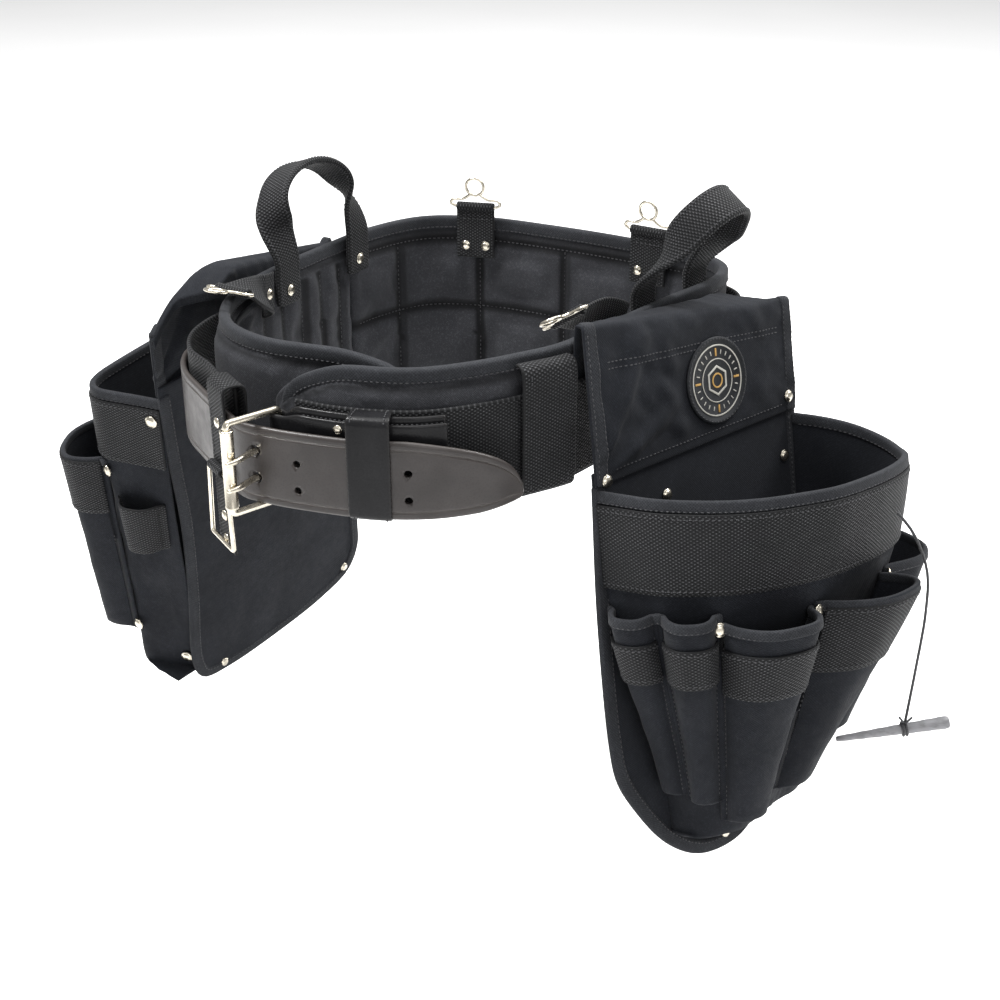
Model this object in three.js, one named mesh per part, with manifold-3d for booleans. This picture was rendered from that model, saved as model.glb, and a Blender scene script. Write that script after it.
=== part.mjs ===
// Tool belt: a padded lumbar belt with a webbing belt and a leather double-prong buckle,
// two riveted pouches, two webbing lifting handles and four suspender rings.
// Millimetres, +Z up, -Y is the wearer's front. The origin is the middle of the waist ring.
import * as THREE from 'three';
import { mergeVertices } from 'three/addons/utils/BufferGeometryUtils.js';
import Module from 'manifold-3d';

const wasm = await Module();
wasm.setup();

// ---------- driving dimensions ----------
const GAP = 0.4;                  // smallest clearance between two pieces
const PAD_HALF = 6;               // half the pad's thickness
const PAD_TOP = 72;               // height of the pad's top rim above the origin
const PAD_BOTTOM_BACK = -78;      // the lumbar panel is about 150 tall
const PAD_BOTTOM_FRONT = -22;     // the wings are about 95 tall
const WEB_HALF = 1.5;             // half the belt webbing's thickness
const WEB_LOW = -13;
const WEB_HIGH = 48;
const BILLET_HALF = 2;            // half the leather's thickness
const STRAP_HALF = 1.4;           // half the buckle strap's thickness
const PRONG_HEIGHTS = [19, 1];    // the two prongs' heights
const WIRE = 2.3;                 // the buckle wire's radius
const BAR = [-37.5, -177.5];      // the buckle's fixed bar, in plan
const ROLLER = [-50, -213];      // the buckle's roller, in plan
const BUCKLE_LOW = -18.5;
const BUCKLE_HIGH = 42;
const HANDLE_WIDTH = 26;          // the handle webbing, folded lengthwise
const HANDLE_HALF = 2.2;
const HANDLE_FOOT = 48;           // height of the handle feet's lower ends
const TAB_WIDTH = 28;
const TAB_HALF = 1.2;
const TAB_BACK_LENGTH = 40;
const STRIP_STEPS = 10;            // stations of a bent strip between two of its points
const TAB_RISE = 11;              // the suspender wire's height above the pad's rim
const EYE_OUTER = 3.4;            // the tab's fold round the wire
const RING_WIRE = 1.2;
const RING_RADIUS = 7;
const RING_CENTRE = 16.4;         // the ring's middle, from the wire's bar
const TOOL_TAB = [-78, -182];     // the tool tab's middle, in plan
const TOOL_TAB_WIDTH = 26;
const TOOL_TAB_FOOT = -63;
const TOOL_RING_TOP = -5;
const TOOL_RING_DROP = 52;
const TOOL_WIRE = 1.5;
const SLEEVE_TOP = 86;
const HINGE_H = 103;              // the riveted seam below the belt, where a pouch swings
const RIM_H = 106;                // the pocket's rim, down from the sleeve's top
const WALL = 2.4;                 // the pocket's cloth with its lining
const BAND_HEIGHT = 54;           // the webbing band under the rim
const BAND_DROP = 8;              // the bound edge above that band
const BAND_THICK = 1.8;
const BAND_GAP = 0.6;
const SMALL_OFF = 3.4;              // a small pocket stands this far off the wall, past the band
const SMALL_WALL = 2;
const PANEL = 2.6;                // a back panel's thickness, with the gap before the pocket
const SMALL_STEPS = 8;
const SLEEVE_CLOTH = 1.8;
const PATCH_RADIUS = 29.5;
const CORD_RADIUS = 1;
const TOGGLE_LENGTH = 78;
const TUNNEL_LOW = -17;           // the sleeve's inner layer ends below the belt webbing

// Plan of the pad's middle line, clockwise from its left end in front to its right end in front.
const PAD_LINE = [
  [30, -131], [-20, -139], [-72, -146], [-112, -131], [-138, -97], [-151, -50], [-154, 30],
  [-150, 95], [-131, 140], [-90, 161], [-30, 167], [30, 167], [90, 161], [121, 143], [129, 112],
  [118.7, 54], [108.3, -4], [98, -62], [85, -88], [66, -118], [40, -145], [0, -160], [-50, -164],
];
// Plan of the belt webbing's middle line, the same way round.
const WEB_LINE = [
  [-71, -177], [-92.5, -165], [-112, -152], [-140, -137], [-159, -114], [-168, -86], [-169.7, -55], [-169.7, 5], [-169.7, 65],
  [-164, 112], [-142, 151], [-94, 173], [-30, 178.5], [30, 178.5], [95, 172.5], [131, 152], [139.2, 110.2],
  [128.9, 52.2], [118.5, -5.8], [108.2, -63.8], [94, -93], [74, -124.5], [46.5, -153], [2, -170.4],
  [-26, -173],
];
// Plan of the leather billet's middle line, from the belt's left side round to its tip.
const BILLET_LINE = [
  [-172, -90], [-162.5, -118], [-143, -141], [-116, -159], [-96, -171], [-75, -183], [-55, -193],
  [-37, -193], [-15, -190], [31, -178], [64, -159.5], [86.5, -134.5], [98, -112],
];

// ---------- materials ----------
function material(color, roughness, metalness = 0) {
  return new THREE.MeshStandardMaterial({ color, roughness, metalness });
}
const CANVAS = () => material(0x17181c, 0.9);
const WEBBING = () => material(0x1b1c1f, 0.8);
const BROWN_LEATHER = () => material(0x3a3431, 0.45);
const BLACK_LEATHER = () => material(0x141416, 0.35);
const NICKEL = () => material(0xd6d0bd, 0.25, 1);
const PATCH_RUBBER = () => material(0x202326, 0.6);
const CORD = () => material(0x1a1a1a, 0.8);
const GREY_PLASTIC = () => material(0x77787a, 0.5);

const root = new THREE.Group();

function put(name, geometry, mat, parent = root) {
  const mesh = new THREE.Mesh(geometry, mat);
  mesh.name = name;
  parent.add(mesh);
  return mesh;
}

// ---------- geometry helpers ----------
// A closed geometry from points and triangles, turned so that its faces point out.
function closedGeometry(points, triangles) {
  let volume = 0;
  for (const [a, b, c] of triangles) {
    volume += points[a].dot(new THREE.Vector3().crossVectors(points[b], points[c]));
  }
  const faces = volume > 0 ? triangles : triangles.map(([a, b, c]) => [a, c, b]);
  const geometry = new THREE.BufferGeometry();
  const flat = points.flatMap((p) => [p.x, p.y, p.z]);
  geometry.setAttribute('position', new THREE.Float32BufferAttribute(flat, 3));
  geometry.setIndex(faces.flat());
  geometry.computeVertexNormals();
  return geometry;
}

// Triangles that close a flat ring of points.
function capTriangles(ring) {
  const normal = new THREE.Vector3();
  ring.forEach((p, i) => normal.add(new THREE.Vector3().crossVectors(p, ring[(i + 1) % ring.length])));
  normal.normalize();
  const u = new THREE.Vector3().subVectors(ring[1], ring[0]).normalize();
  const v = new THREE.Vector3().crossVectors(normal, u);
  const flat = ring.map((p) => new THREE.Vector2(p.dot(u), p.dot(v)));
  return THREE.ShapeUtils.triangulateShape(flat, []);
}

// A solid through rings of points of equal length, closed at both ends.
function loft(rings) {
  const count = rings[0].length;
  const points = rings.flat();
  const triangles = [];
  for (let r = 0; r + 1 < rings.length; r += 1) {
    for (let i = 0; i < count; i += 1) {
      const a = r * count + i;
      const b = r * count + (i + 1) % count;
      triangles.push([a, b, b + count], [a, b + count, a + count]);
    }
  }
  const last = (rings.length - 1) * count;
  capTriangles(rings[0]).forEach(([a, b, c]) => triangles.push([a, c, b]));
  capTriangles(rings[rings.length - 1]).forEach(([a, b, c]) => triangles.push([a + last, b + last, c + last]));
  return closedGeometry(points, triangles);
}

// A plan line with positions, and its outward side, by arc length.
class PlanLine {
  constructor(points, outwardSign) {
    const corners = points.map(([x, y]) => new THREE.Vector3(x, y, 0));
    const curve = new THREE.CatmullRomCurve3(corners, false, 'centripetal');
    this.samples = curve.getPoints(points.length * 12);
    this.outwardSign = outwardSign;
    this.lengths = [0];
    for (let i = 1; i < this.samples.length; i += 1) {
      this.lengths.push(this.lengths[i - 1] + this.samples[i].distanceTo(this.samples[i - 1]));
    }
    this.length = this.lengths[this.lengths.length - 1];
  }

  at(s, offset = 0, z = 0) {
    const here = this.locate(s);
    const side = new THREE.Vector3(-here.tangent.y, here.tangent.x, 0).multiplyScalar(this.outwardSign);
    return here.point.clone().addScaledVector(side, offset).setZ(z);
  }

  locate(s) {
    const inside = Math.min(Math.max(s, 0), this.length - 1e-6);
    let i = 1;
    while (this.lengths[i] < inside) i += 1;
    const t = (s - this.lengths[i - 1]) / (this.lengths[i] - this.lengths[i - 1]);
    const point = this.samples[i - 1].clone().lerp(this.samples[i], t);
    const before = this.samples[Math.max(i - 2, 0)];
    const after = this.samples[Math.min(i + 1, this.samples.length - 1)];
    return { point, tangent: new THREE.Vector3().subVectors(after, before).normalize() };
  }

  nearest(x, y) {
    const target = new THREE.Vector3(x, y, 0);
    let best = 0;
    this.samples.forEach((p, i) => {
      if (p.distanceTo(target) < this.samples[best].distanceTo(target)) best = i;
    });
    return this.lengths[best];
  }
}

// A solid swept along a plan line; profile(s) gives [offset, z] corners.
function sweep(line, from, to, steps, profile) {
  const rings = [];
  for (let i = 0; i <= steps; i += 1) {
    const s = from + (to - from) * (i / steps);
    rings.push(profile(s, i / steps).map(([offset, z]) => line.at(s, offset, z)));
  }
  return loft(rings);
}

// An upright band along a plan line.
function band(line, from, to, steps, half, low, high, shift = 0) {
  const value = (v, s, t) => (typeof v === 'function' ? v(s, t) : v);
  return sweep(line, from, to, steps, (s, t) => {
    const bottom = value(low, s, t);
    const top = value(high, s, t);
    return [[shift - half, bottom], [shift + half, bottom], [shift + half, top], [shift - half, top]];
  });
}

// A round rod along points.
function rod(points, radius, sides = 8, steps = 12) {
  const curve = points.length === 2
    ? new THREE.LineCurve3(points[0], points[1])
    : new THREE.CatmullRomCurve3(points, false, 'centripetal');
  const shape = new THREE.Shape();
  for (let i = 0; i < sides; i += 1) {
    const a = (i / sides) * Math.PI * 2;
    const x = radius * Math.cos(a);
    const y = radius * Math.sin(a);
    if (i === 0) shape.moveTo(x, y); else shape.lineTo(x, y);
  }
  shape.closePath();
  const stepsUsed = points.length === 2 ? 1 : steps;
  return new THREE.ExtrudeGeometry(shape, { steps: stepsUsed, extrudePath: curve, bevelEnabled: false });
}

function solid(geometry) {
  const bare = geometry.index ? geometry.toNonIndexed() : geometry.clone();
  bare.deleteAttribute('normal');
  if (bare.attributes.uv) bare.deleteAttribute('uv');
  const merged = mergeVertices(bare, 1e-4);
  const vertProperties = new Float32Array(merged.attributes.position.array);
  const triVerts = new Uint32Array(merged.index.array);
  return new wasm.Manifold(new wasm.Mesh({ numProp: 3, vertProperties, triVerts }));
}

function toGeometry(manifold) {
  const mesh = manifold.getMesh();
  const geometry = new THREE.BufferGeometry();
  geometry.setAttribute('position', new THREE.Float32BufferAttribute(mesh.vertProperties, 3));
  geometry.setIndex([...mesh.triVerts]);
  geometry.computeVertexNormals();
  return geometry;
}

function join(geometries) {
  return toGeometry(geometries.map(solid).reduce((a, b) => a.add(b)));
}

function cut(geometry, cutters) {
  return toGeometry(cutters.map(solid).reduce((a, b) => a.subtract(b), solid(geometry)));
}

function upright(radius, low, high, x, y, sides = 12) {
  const geometry = new THREE.CylinderGeometry(radius, radius, high - low, sides);
  geometry.rotateX(Math.PI / 2);
  geometry.translate(x, y, (low + high) / 2);
  return geometry;
}

function smooth(t) {
  const c = Math.min(Math.max(t, 0), 1);
  return c * c * (3 - 2 * c);
}

// A domed rivet head standing on a surface at a point, facing along a direction.
function rivetHead(at, direction, radius = 4.2, height = 2) {
  const profile = [
    [0, 0], [radius, 0], [radius, height * 0.35], [radius * 0.7, height * 0.85], [0, height],
  ].map(([x, y]) => new THREE.Vector2(x, y));
  const geometry = new THREE.LatheGeometry(profile, 10);
  const turn = new THREE.Quaternion().setFromUnitVectors(new THREE.Vector3(0, 1, 0), direction.clone().normalize());
  geometry.applyQuaternion(turn);
  geometry.translate(at.x, at.y, at.z);
  return geometry;
}

const padLine = new PlanLine(PAD_LINE, 1);
const webLine = new PlanLine(WEB_LINE, 1);
const billetLine = new PlanLine(BILLET_LINE, -1);

// ---------- lumbar pad ----------
// Heights of the pad's edges by arc length: tall at the back, lower and rounded at the ends.
const backLeft = padLine.nearest(-152, 62);
const backRight = padLine.nearest(124, 84);

function padBottom(s) {
  const rise = PAD_BOTTOM_FRONT - PAD_BOTTOM_BACK;
  const left = smooth((backLeft + 70 - s) / 150);
  const right = smooth((s - backRight + 70) / 150);
  const endRound = 30 * (1 - Math.sqrt(Math.min(1, (padLine.length - s) / 30))) ** 2;
  return PAD_BOTTOM_BACK + rise * Math.max(left, right) + endRound * 0.6;
}

function padTop(s) {
  const fromLeft = Math.min(1, s / 45);
  const fromRight = Math.min(1, (padLine.length - s + 1.5) / 50);
  return PAD_TOP - 14 * (1 - Math.sqrt(fromLeft)) - 36 * (1 - Math.sqrt(fromRight));
}

function addPad() {
  const wing = (from, to, steps) => band(padLine, from, to, steps, PAD_HALF, padBottom, padTop);
  put('wing_left', wing(0, backLeft - GAP, 30), CANVAS());
  put('lumbar_panel', wing(backLeft, backRight, 30), CANVAS());
  put('wing_right', wing(backRight + GAP, padLine.length, 30), CANVAS());
}

// ---------- belt webbing and its loops ----------
function addWebbing() {
  put('belt_webbing', band(webLine, 0, webLine.length, 64, WEB_HALF, WEB_LOW, WEB_HIGH), WEBBING());
  // The upright loop on the right wing that the webbing runs through, open at both sides.
  const middle = padLine.nearest(90, -79);
  const inner = PAD_HALF + GAP;
  const outer = 16.8;
  const wall = 2.2;
  const profile = () => [
    [inner, -19], [outer, -19], [outer, 69], [inner, 69],
    [inner, 69 - wall], [outer - wall, 69 - wall], [outer - wall, -19 + wall], [inner, -19 + wall],
  ];
  put('webbing_loop', sweep(padLine, middle - 18, middle + 18, 5, profile), WEBBING());
}

// ---------- leather billet with its holes ----------
const billetTip = billetLine.length;

function billetTop(s) {
  const left = billetTip - s;
  if (left > 78) return 34;
  return 34 - 42 * (1 - Math.sqrt(Math.max(left, 0) / 78)) ** 1.35;
}

function billetBottom(s) {
  const left = billetTip - s;
  return left > 30 ? -15 : -15 + 4 * (1 - Math.sqrt(Math.max(left, 0) / 30));
}

function prongDirection() {
  return new THREE.Vector3(ROLLER[0] - BAR[0], ROLLER[1] - BAR[1], 0).normalize();
}

function addBillet() {
  const body = band(billetLine, 0, billetTip, 46, BILLET_HALF, billetBottom, billetTop);
  const holes = [];
  const direction = prongDirection();
  for (const z of PRONG_HEIGHTS) {
    const start = new THREE.Vector3(BAR[0], BAR[1], z).addScaledVector(direction, 5);
    const end = start.clone().addScaledVector(direction, 24);
    holes.push(rod([start, end], 3.3, 10));
    for (const x of [-14, 48]) {
      const s = billetLine.nearest(x, x > 0 ? -165 : -188);
      holes.push(rod([billetLine.at(s, -6, z - 4), billetLine.at(s, 6, z - 4)], 2.4, 8));
    }
  }
  put('leather_billet', cut(body, holes), BROWN_LEATHER());
}

// ---------- buckle strap folded round the bar, and the keeper ----------
// The strap's outer layer lies a little lower than its inner one, and it narrows at the bar.
function strapTop(s, t, length) {
  const nearBar = 1 - smooth((Math.abs(s - length / 2) - 12) / 14);
  const full = t < 0.5 ? 46 : 42;
  return full + (38.8 - full) * nearBar;
}

function addBuckleStrap() {
  const front = new PlanLine(PAD_LINE.slice(16).reverse(), -1);
  const from = front.nearest(50, -135);
  const back = [];
  const face = [];
  for (let i = 0; i <= 6; i += 1) {
    const s = from + (front.nearest(-26, -162.5) - from) * (i / 6);
    back.push(front.at(s, 15.4));
    face.push(front.at(s, 19));
  }
  const turn = [];
  for (let i = 0; i <= 8; i += 1) {
    const a = Math.PI / 2 + (i / 8) * Math.PI;
    turn.push(new THREE.Vector3(BAR[0] + 4.3 * Math.cos(a), BAR[1] + 4.3 * Math.sin(a), 0));
  }
  const plan = [...back, ...turn, ...face.reverse()].map((p) => [p.x, p.y]);
  const line = new PlanLine(plan, 1);
  const body = band(line, 0, line.length, 70, STRAP_HALF, -11, (s, t) => strapTop(s, t, line.length));
  const slots = PRONG_HEIGHTS.map((z) => {
    const slot = new THREE.BoxGeometry(22, 24, 7.4);
    slot.translate(BAR[0] - 4.5, BAR[1] - 5, z);
    return slot;
  });
  put('buckle_strap', cut(body, slots), BLACK_LEATHER());
  const rivetAt = front.nearest(4, -159);
  const outward = front.at(rivetAt, 1, 0).sub(front.at(rivetAt, 0, 0));
  const head = rivetHead(front.at(rivetAt, 19 + STRAP_HALF + GAP, 38.3), outward, 2.9, 1.6);
  put('buckle_strap_rivet', head, NICKEL());
}

function addKeeper() {
  const front = new PlanLine(PAD_LINE.slice(16).reverse(), -1);
  const middle = front.nearest(21, -154);
  const inner = 12.3;
  const outer = 30.4;
  const wall = 2;
  const rings = [];
  for (let i = 0; i <= 4; i += 1) {
    const s = middle - 10.5 + 21 * (i / 4);
    rings.push([
      [inner, -17.6], [outer, -17.6], [outer, 51], [inner, 51],
    ].map(([o, z]) => front.at(s, o, z)));
  }
  const block = loft(rings);
  const hole = [];
  for (let i = 0; i <= 4; i += 1) {
    const s = middle - 12.5 + 25 * (i / 4);
    hole.push([
      [inner + 1.3, -17.6 + wall], [outer - wall, -17.6 + wall], [outer - wall, 51 - wall], [inner + 1.3, 51 - wall],
    ].map(([o, z]) => front.at(s, o, z)));
  }
  put('leather_keeper', cut(block, [loft(hole)]), BLACK_LEATHER());
}

// ---------- buckle ----------
function addBuckle() {
  const corner = (p, z) => new THREE.Vector3(p[0], p[1], z);
  const loop = [
    corner(BAR, BUCKLE_LOW), corner(BAR, BUCKLE_HIGH), corner(ROLLER, BUCKLE_HIGH), corner(ROLLER, BUCKLE_LOW),
  ];
  const pieces = [];
  loop.forEach((p, i) => {
    pieces.push(rod([p, loop[(i + 1) % 4]], WIRE, 10));
    pieces.push(new THREE.SphereGeometry(WIRE * 1.02, 10, 6).translate(p.x, p.y, p.z));
  });
  put('buckle_frame', join(pieces), NICKEL());

  const tube = upright(4.3, BUCKLE_LOW + 4, BUCKLE_HIGH - 4, ROLLER[0], ROLLER[1], 16);
  const bore = upright(WIRE + 0.5, BUCKLE_LOW, BUCKLE_HIGH, ROLLER[0], ROLLER[1], 16);
  put('buckle_roller', cut(tube, [bore]), NICKEL());

  const direction = prongDirection();
  const side = new THREE.Vector3(-direction.y, direction.x, 0);
  const lift = side.clone().multiplyScalar(side.y < 0 ? 1 : -1);
  PRONG_HEIGHTS.forEach((z, i) => {
    const eye = upright(5.6, z - 2.6, z + 2.6, BAR[0], BAR[1], 14);
    const bore2 = upright(WIRE + 0.5, z - 5, z + 5, BAR[0], BAR[1], 14);
    const start = corner(BAR, z).addScaledVector(direction, 4.4);
    const middle = corner(BAR, z).addScaledVector(direction, 22).addScaledVector(lift, 1.2);
    const over = corner(ROLLER, z).addScaledVector(lift, 6.9);
    const tip = over.clone().addScaledVector(direction, 5);
    const prong = join([eye, rod([start, middle, over, tip], 2.1, 8, 9)]);
    put(i === 0 ? 'buckle_prong_upper' : 'buckle_prong_lower', cut(prong, [bore2]), NICKEL());
  });
}

// ---------- lifting handles ----------
// A folded webbing arch. Both feet lie on the pad's inner side; the top leans outward.
function addHandle(name, footA, footB, rise, lean, rivetNames) {
  const offset = -(PAD_HALF + 1.7 + HANDLE_HALF);
  const a = padLine.nearest(...footA);
  const b = padLine.nearest(...footB);
  const pA = padLine.at(a, offset, HANDLE_FOOT);
  const pB = padLine.at(b, offset, HANDLE_FOOT);
  const along = new THREE.Vector3().subVectors(pB, pA).normalize();
  const span = pA.distanceTo(pB);
  const up = new THREE.Vector3(0, 0, 1);
  const out = padLine.at(a, 1, 0).sub(padLine.at(a, 0, 0));
  const legs = PAD_TOP - HANDLE_FOOT + 9;
  const leanUp = up.clone().multiplyScalar(Math.cos(lean)).addScaledVector(out, Math.sin(lean));
  const leanOut = out.clone().multiplyScalar(Math.cos(lean)).addScaledVector(up, -Math.sin(lean));
  const plan = [];
  for (const t of [0, 0.5, 1]) plan.push(pA.clone().addScaledVector(up, legs * t));
  for (let i = 1; i < 12; i += 1) {
    const angle = Math.PI * (i / 12);
    const x = span * (0.5 - 0.5 * Math.cos(angle) * (1 + 0.24 * Math.sin(angle)));
    const h = rise * Math.sin(angle) ** 0.75;
    plan.push(pA.clone().addScaledVector(up, legs).addScaledVector(along, x).addScaledVector(leanUp, h));
  }
  for (const t of [1, 0.5, 0]) plan.push(pB.clone().addScaledVector(up, legs * t));
  const curve = new THREE.CatmullRomCurve3(plan, false, 'centripetal');
  const rings = [];
  const steps = 26;
  for (let i = 0; i <= steps; i += 1) {
    const t = i / steps;
    const here = curve.getPoint(t);
    const tangent = curve.getTangent(t);
    const twist = smooth((Math.min(t, 1 - t) - 0.1) / 0.22);
    const flat = along.clone().multiplyScalar(t < 0.5 ? 1 : -1);
    const across = flat.multiplyScalar(1 - twist).addScaledVector(leanOut, -twist);
    across.addScaledVector(tangent, -across.dot(tangent)).normalize();
    const face = new THREE.Vector3().crossVectors(tangent, across).normalize();
    const corner = (w, f) => here.clone().addScaledVector(across, w).addScaledVector(face, f);
    const w = HANDLE_WIDTH / 2;
    rings.push([
      corner(-w, -HANDLE_HALF * 0.6), corner(-w * 0.8, -HANDLE_HALF), corner(w * 0.8, -HANDLE_HALF),
      corner(w, -HANDLE_HALF * 0.6), corner(w, HANDLE_HALF * 0.6), corner(w * 0.8, HANDLE_HALF),
      corner(-w * 0.8, HANDLE_HALF), corner(-w, HANDLE_HALF * 0.6),
    ]);
  }
  put(name, loft(rings), WEBBING());
  for (const label of rivetNames) {
    const s = label === 'front' ? a : b;
    const at = padLine.at(s, offset - HANDLE_HALF - GAP, HANDLE_FOOT + 9);
    const inward = padLine.at(s, 0, 0).sub(padLine.at(s, 1, 0));
    put(`${name}_rivet_${label}`, rivetHead(at, inward), NICKEL());
  }
}

// ---------- suspender tabs and rings ----------
// A flat strip of webbing through stations, each with its middle point and its width direction.
function strip(stations, width, half) {
  const curve = new THREE.CatmullRomCurve3(stations.map(({ point }) => point), false, 'centripetal');
  const spans = stations.length - 1;
  const steps = spans === 1 ? 1 : spans * STRIP_STEPS;
  const rings = [];
  for (let i = 0; i <= steps; i += 1) {
    const t = i / steps;
    const from = Math.min(Math.floor(t * spans), spans - 1);
    const across = stations[from].across.clone().normalize()
      .lerp(stations[from + 1].across.clone().normalize(), t * spans - from);
    const point = curve.getPoint(t);
    const along = curve.getTangent(t);
    const wide = across.addScaledVector(along, -across.dot(along)).normalize();
    const face = new THREE.Vector3().crossVectors(along, wide);
    const corner = (w, f) => point.clone().addScaledVector(wide, w * width / 2).addScaledVector(face, f * half);
    rings.push([corner(-1, -1), corner(1, -1), corner(1, 1), corner(-1, 1)]);
  }
  return loft(rings);
}

// A webbing tab whose end is folded round a wire that carries a ring. The wire's bar lies
// across the tab; the ring points on from it, leaned by a few degrees.
function addSuspender(name, stations, ringLean) {
  const last = stations[stations.length - 1];
  const before = stations[stations.length - 2];
  const towards = new THREE.Vector3().subVectors(last.point, before.point).normalize();
  const across = last.across.clone().addScaledVector(towards, -last.across.dot(towards)).normalize();
  const normal = new THREE.Vector3().crossVectors(towards, across);
  const eye = last.point;
  const beside = (w) => eye.clone().addScaledVector(across, w);
  const short = TAB_WIDTH / 2;
  const roll = rod([beside(-short), beside(short)], EYE_OUTER, 12);
  const bore = rod([beside(-TAB_WIDTH), beside(TAB_WIDTH)], RING_WIRE + 0.5, 12);
  const tab = join([strip(stations, TAB_WIDTH, TAB_HALF), roll]);
  put(`${name}_tab`, cut(tab, [bore]), WEBBING());

  const top = towards.clone().multiplyScalar(Math.cos(ringLean)).addScaledVector(normal, Math.sin(ringLean));
  const reach = short + 2.6;
  const point = (w, h) => beside(w).addScaledVector(top, h);
  const pieces = [rod([point(-reach, 0), point(reach, 0)], RING_WIRE, 6)];
  for (const k of [-1, 1]) {
    const bend = [[reach, 0], [reach + 3.2, 2.4], [reach + 1.4, 5.2], [10, 6.2], [6, 8.4], [3.6, 10.4]];
    pieces.push(rod(bend.map(([w, h]) => point(k * w, h)), RING_WIRE, 6, 7));
    pieces.push(new THREE.SphereGeometry(RING_WIRE * 1.05, 6, 4).translate(...point(k * reach, 0).toArray()));
  }
  const ring = new THREE.TorusGeometry(RING_RADIUS, RING_WIRE, 6, 16);
  const basis = new THREE.Matrix4().makeBasis(across, top, new THREE.Vector3().crossVectors(across, top));
  basis.setPosition(point(0, RING_CENTRE));
  ring.applyMatrix4(basis);
  put(`${name}_ring`, join([...pieces, ring]), NICKEL());
}

function addSuspenders() {
  const up = new THREE.Vector3(0, 0, 1);
  const onPad = (x, y, z, inset) => {
    const s = padLine.nearest(x, y);
    const out = padLine.at(s, 1, 0).sub(padLine.at(s, 0, 0));
    return { point: padLine.at(s, -(PAD_HALF + inset + TAB_HALF), z), out };
  };
  for (const [name, x, y] of [['back_left', -95, 160], ['back_right', 57, 164.5]]) {
    const { point, out } = onPad(x, y, PAD_TOP + TAB_RISE - TAB_BACK_LENGTH, 1.6);
    const across = new THREE.Vector3(-out.y, out.x, 0);
    const eye = point.clone().addScaledVector(up, TAB_BACK_LENGTH);
    addSuspender(`suspender_${name}`, [{ point, across }, { point: eye, across }], 0.15);
  }
  // The front tabs start on the pad's inner side and turn over its rim as they run forward.
  const leftOut = new THREE.Vector3(-1, -0.25, 0.1);
  addSuspender('suspender_front_left', [
    { point: onPad(-152, -41.5, 60, 1.6).point, across: up },
    { point: onPad(-149, -58, 62, 2.4).point, across: up },
    { point: new THREE.Vector3(-129, -74, 70), across: up.clone().addScaledVector(leftOut, 0.9) },
    { point: new THREE.Vector3(-131, -100, 80), across: leftOut },
  ], 0.1);
  const rightOut = new THREE.Vector3(0.95, -0.3, 0);
  addSuspender('suspender_front_right', [
    { point: onPad(113, 17, 62, 3).point, across: up },
    { point: new THREE.Vector3(94.5, -6, 74), across: up.clone().addScaledVector(rightOut, 0.5) },
    { point: new THREE.Vector3(87, -32, 79), across: up.clone().addScaledVector(rightOut, 1.4) },
  ], -0.1);
  const rivet = onPad(-150, -50, 61, 2 + TAB_HALF + GAP * 2);
  put('suspender_front_left_rivet', rivetHead(rivet.point, rivet.out.negate(), 4, 2), NICKEL());
}

// ---------- tool tab: a strap hung over the belt in front, with a hinged wire ring ----------
function addToolTab() {
  const middle = billetLine.nearest(TOOL_TAB[0], TOOL_TAB[1]);
  const behind = -11.4;
  const front = 2.8;
  const thick = 1.8;
  const profile = () => [
    [behind, 6], [behind, 53.5], [front + thick, 53.5], [front + thick, TOOL_TAB_FOOT],
    [front, TOOL_TAB_FOOT], [front, 51.5], [behind + thick, 51.5], [behind + thick, 6],
  ];
  const half = TOOL_TAB_WIDTH / 2;
  const strap = sweep(billetLine, middle - half, middle + half, 6, profile);
  const here = billetLine.at(middle, front + thick + EYE_OUTER * 0.75, TOOL_RING_TOP);
  const along = billetLine.locate(middle).tangent;
  const at = (w, h) => here.clone().addScaledVector(along, w).setZ(here.z + h);
  const roll = rod([at(-half + 3, 0), at(half - 3, 0)], EYE_OUTER, 12);
  const bore = rod([at(-half * 2, 0), at(half * 2, 0)], TOOL_WIRE + 0.5, 12);
  put('tool_tab', cut(join([strap, roll]), [bore]), WEBBING());

  const corners = [at(-14, 0), at(14, 0), at(18, -TOOL_RING_DROP), at(-18, -TOOL_RING_DROP)];
  const pieces = corners.flatMap((p, i) => [
    rod([p, corners[(i + 1) % 4]], TOOL_WIRE, 6),
    new THREE.SphereGeometry(TOOL_WIRE * 1.04, 6, 4).translate(p.x, p.y, p.z),
  ]);
  put('tool_ring', join(pieces), NICKEL());
}

// ---------- pouches ----------
// A pouch is drawn in its own panel: a runs from the front edge to the rear, h down from the
// top of the sleeve, d outward from the panel.
class PouchFrame {
  constructor({ corner, azimuth, tilt, roll }) {
    const turn = THREE.MathUtils.degToRad(azimuth);
    const lean = THREE.MathUtils.degToRad(tilt);
    const rolled = THREE.MathUtils.degToRad(roll);
    const outward = new THREE.Vector3(Math.sin(turn), -Math.cos(turn), 0);
    const rearward = new THREE.Vector3(-outward.y, outward.x, 0);
    if (rearward.y < 0) rearward.negate();
    const up = new THREE.Vector3(0, 0, 1);
    this.corner = new THREE.Vector3(...corner);
    this.flatOut = outward;
    this.out = outward.clone().multiplyScalar(Math.cos(lean)).addScaledVector(up, Math.sin(lean));
    const down = outward.clone().multiplyScalar(Math.sin(lean)).addScaledVector(up, -Math.cos(lean));
    this.rear = rearward.clone().multiplyScalar(Math.cos(rolled)).addScaledVector(down, -Math.sin(rolled));
    this.down = down.clone().multiplyScalar(Math.cos(rolled)).addScaledVector(rearward, Math.sin(rolled));
    this.droop = 0.3 * Math.tan(lean);
  }

  at(a, h, d) {
    return this.corner.clone().addScaledVector(this.rear, a).addScaledVector(this.down, h)
      .addScaledVector(this.out, d);
  }

  // How far down the panel a level height z lies at a given a.
  depthOf(z, a) {
    return (z - this.at(a, 0, 0).z) / this.down.z;
  }
}

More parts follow.
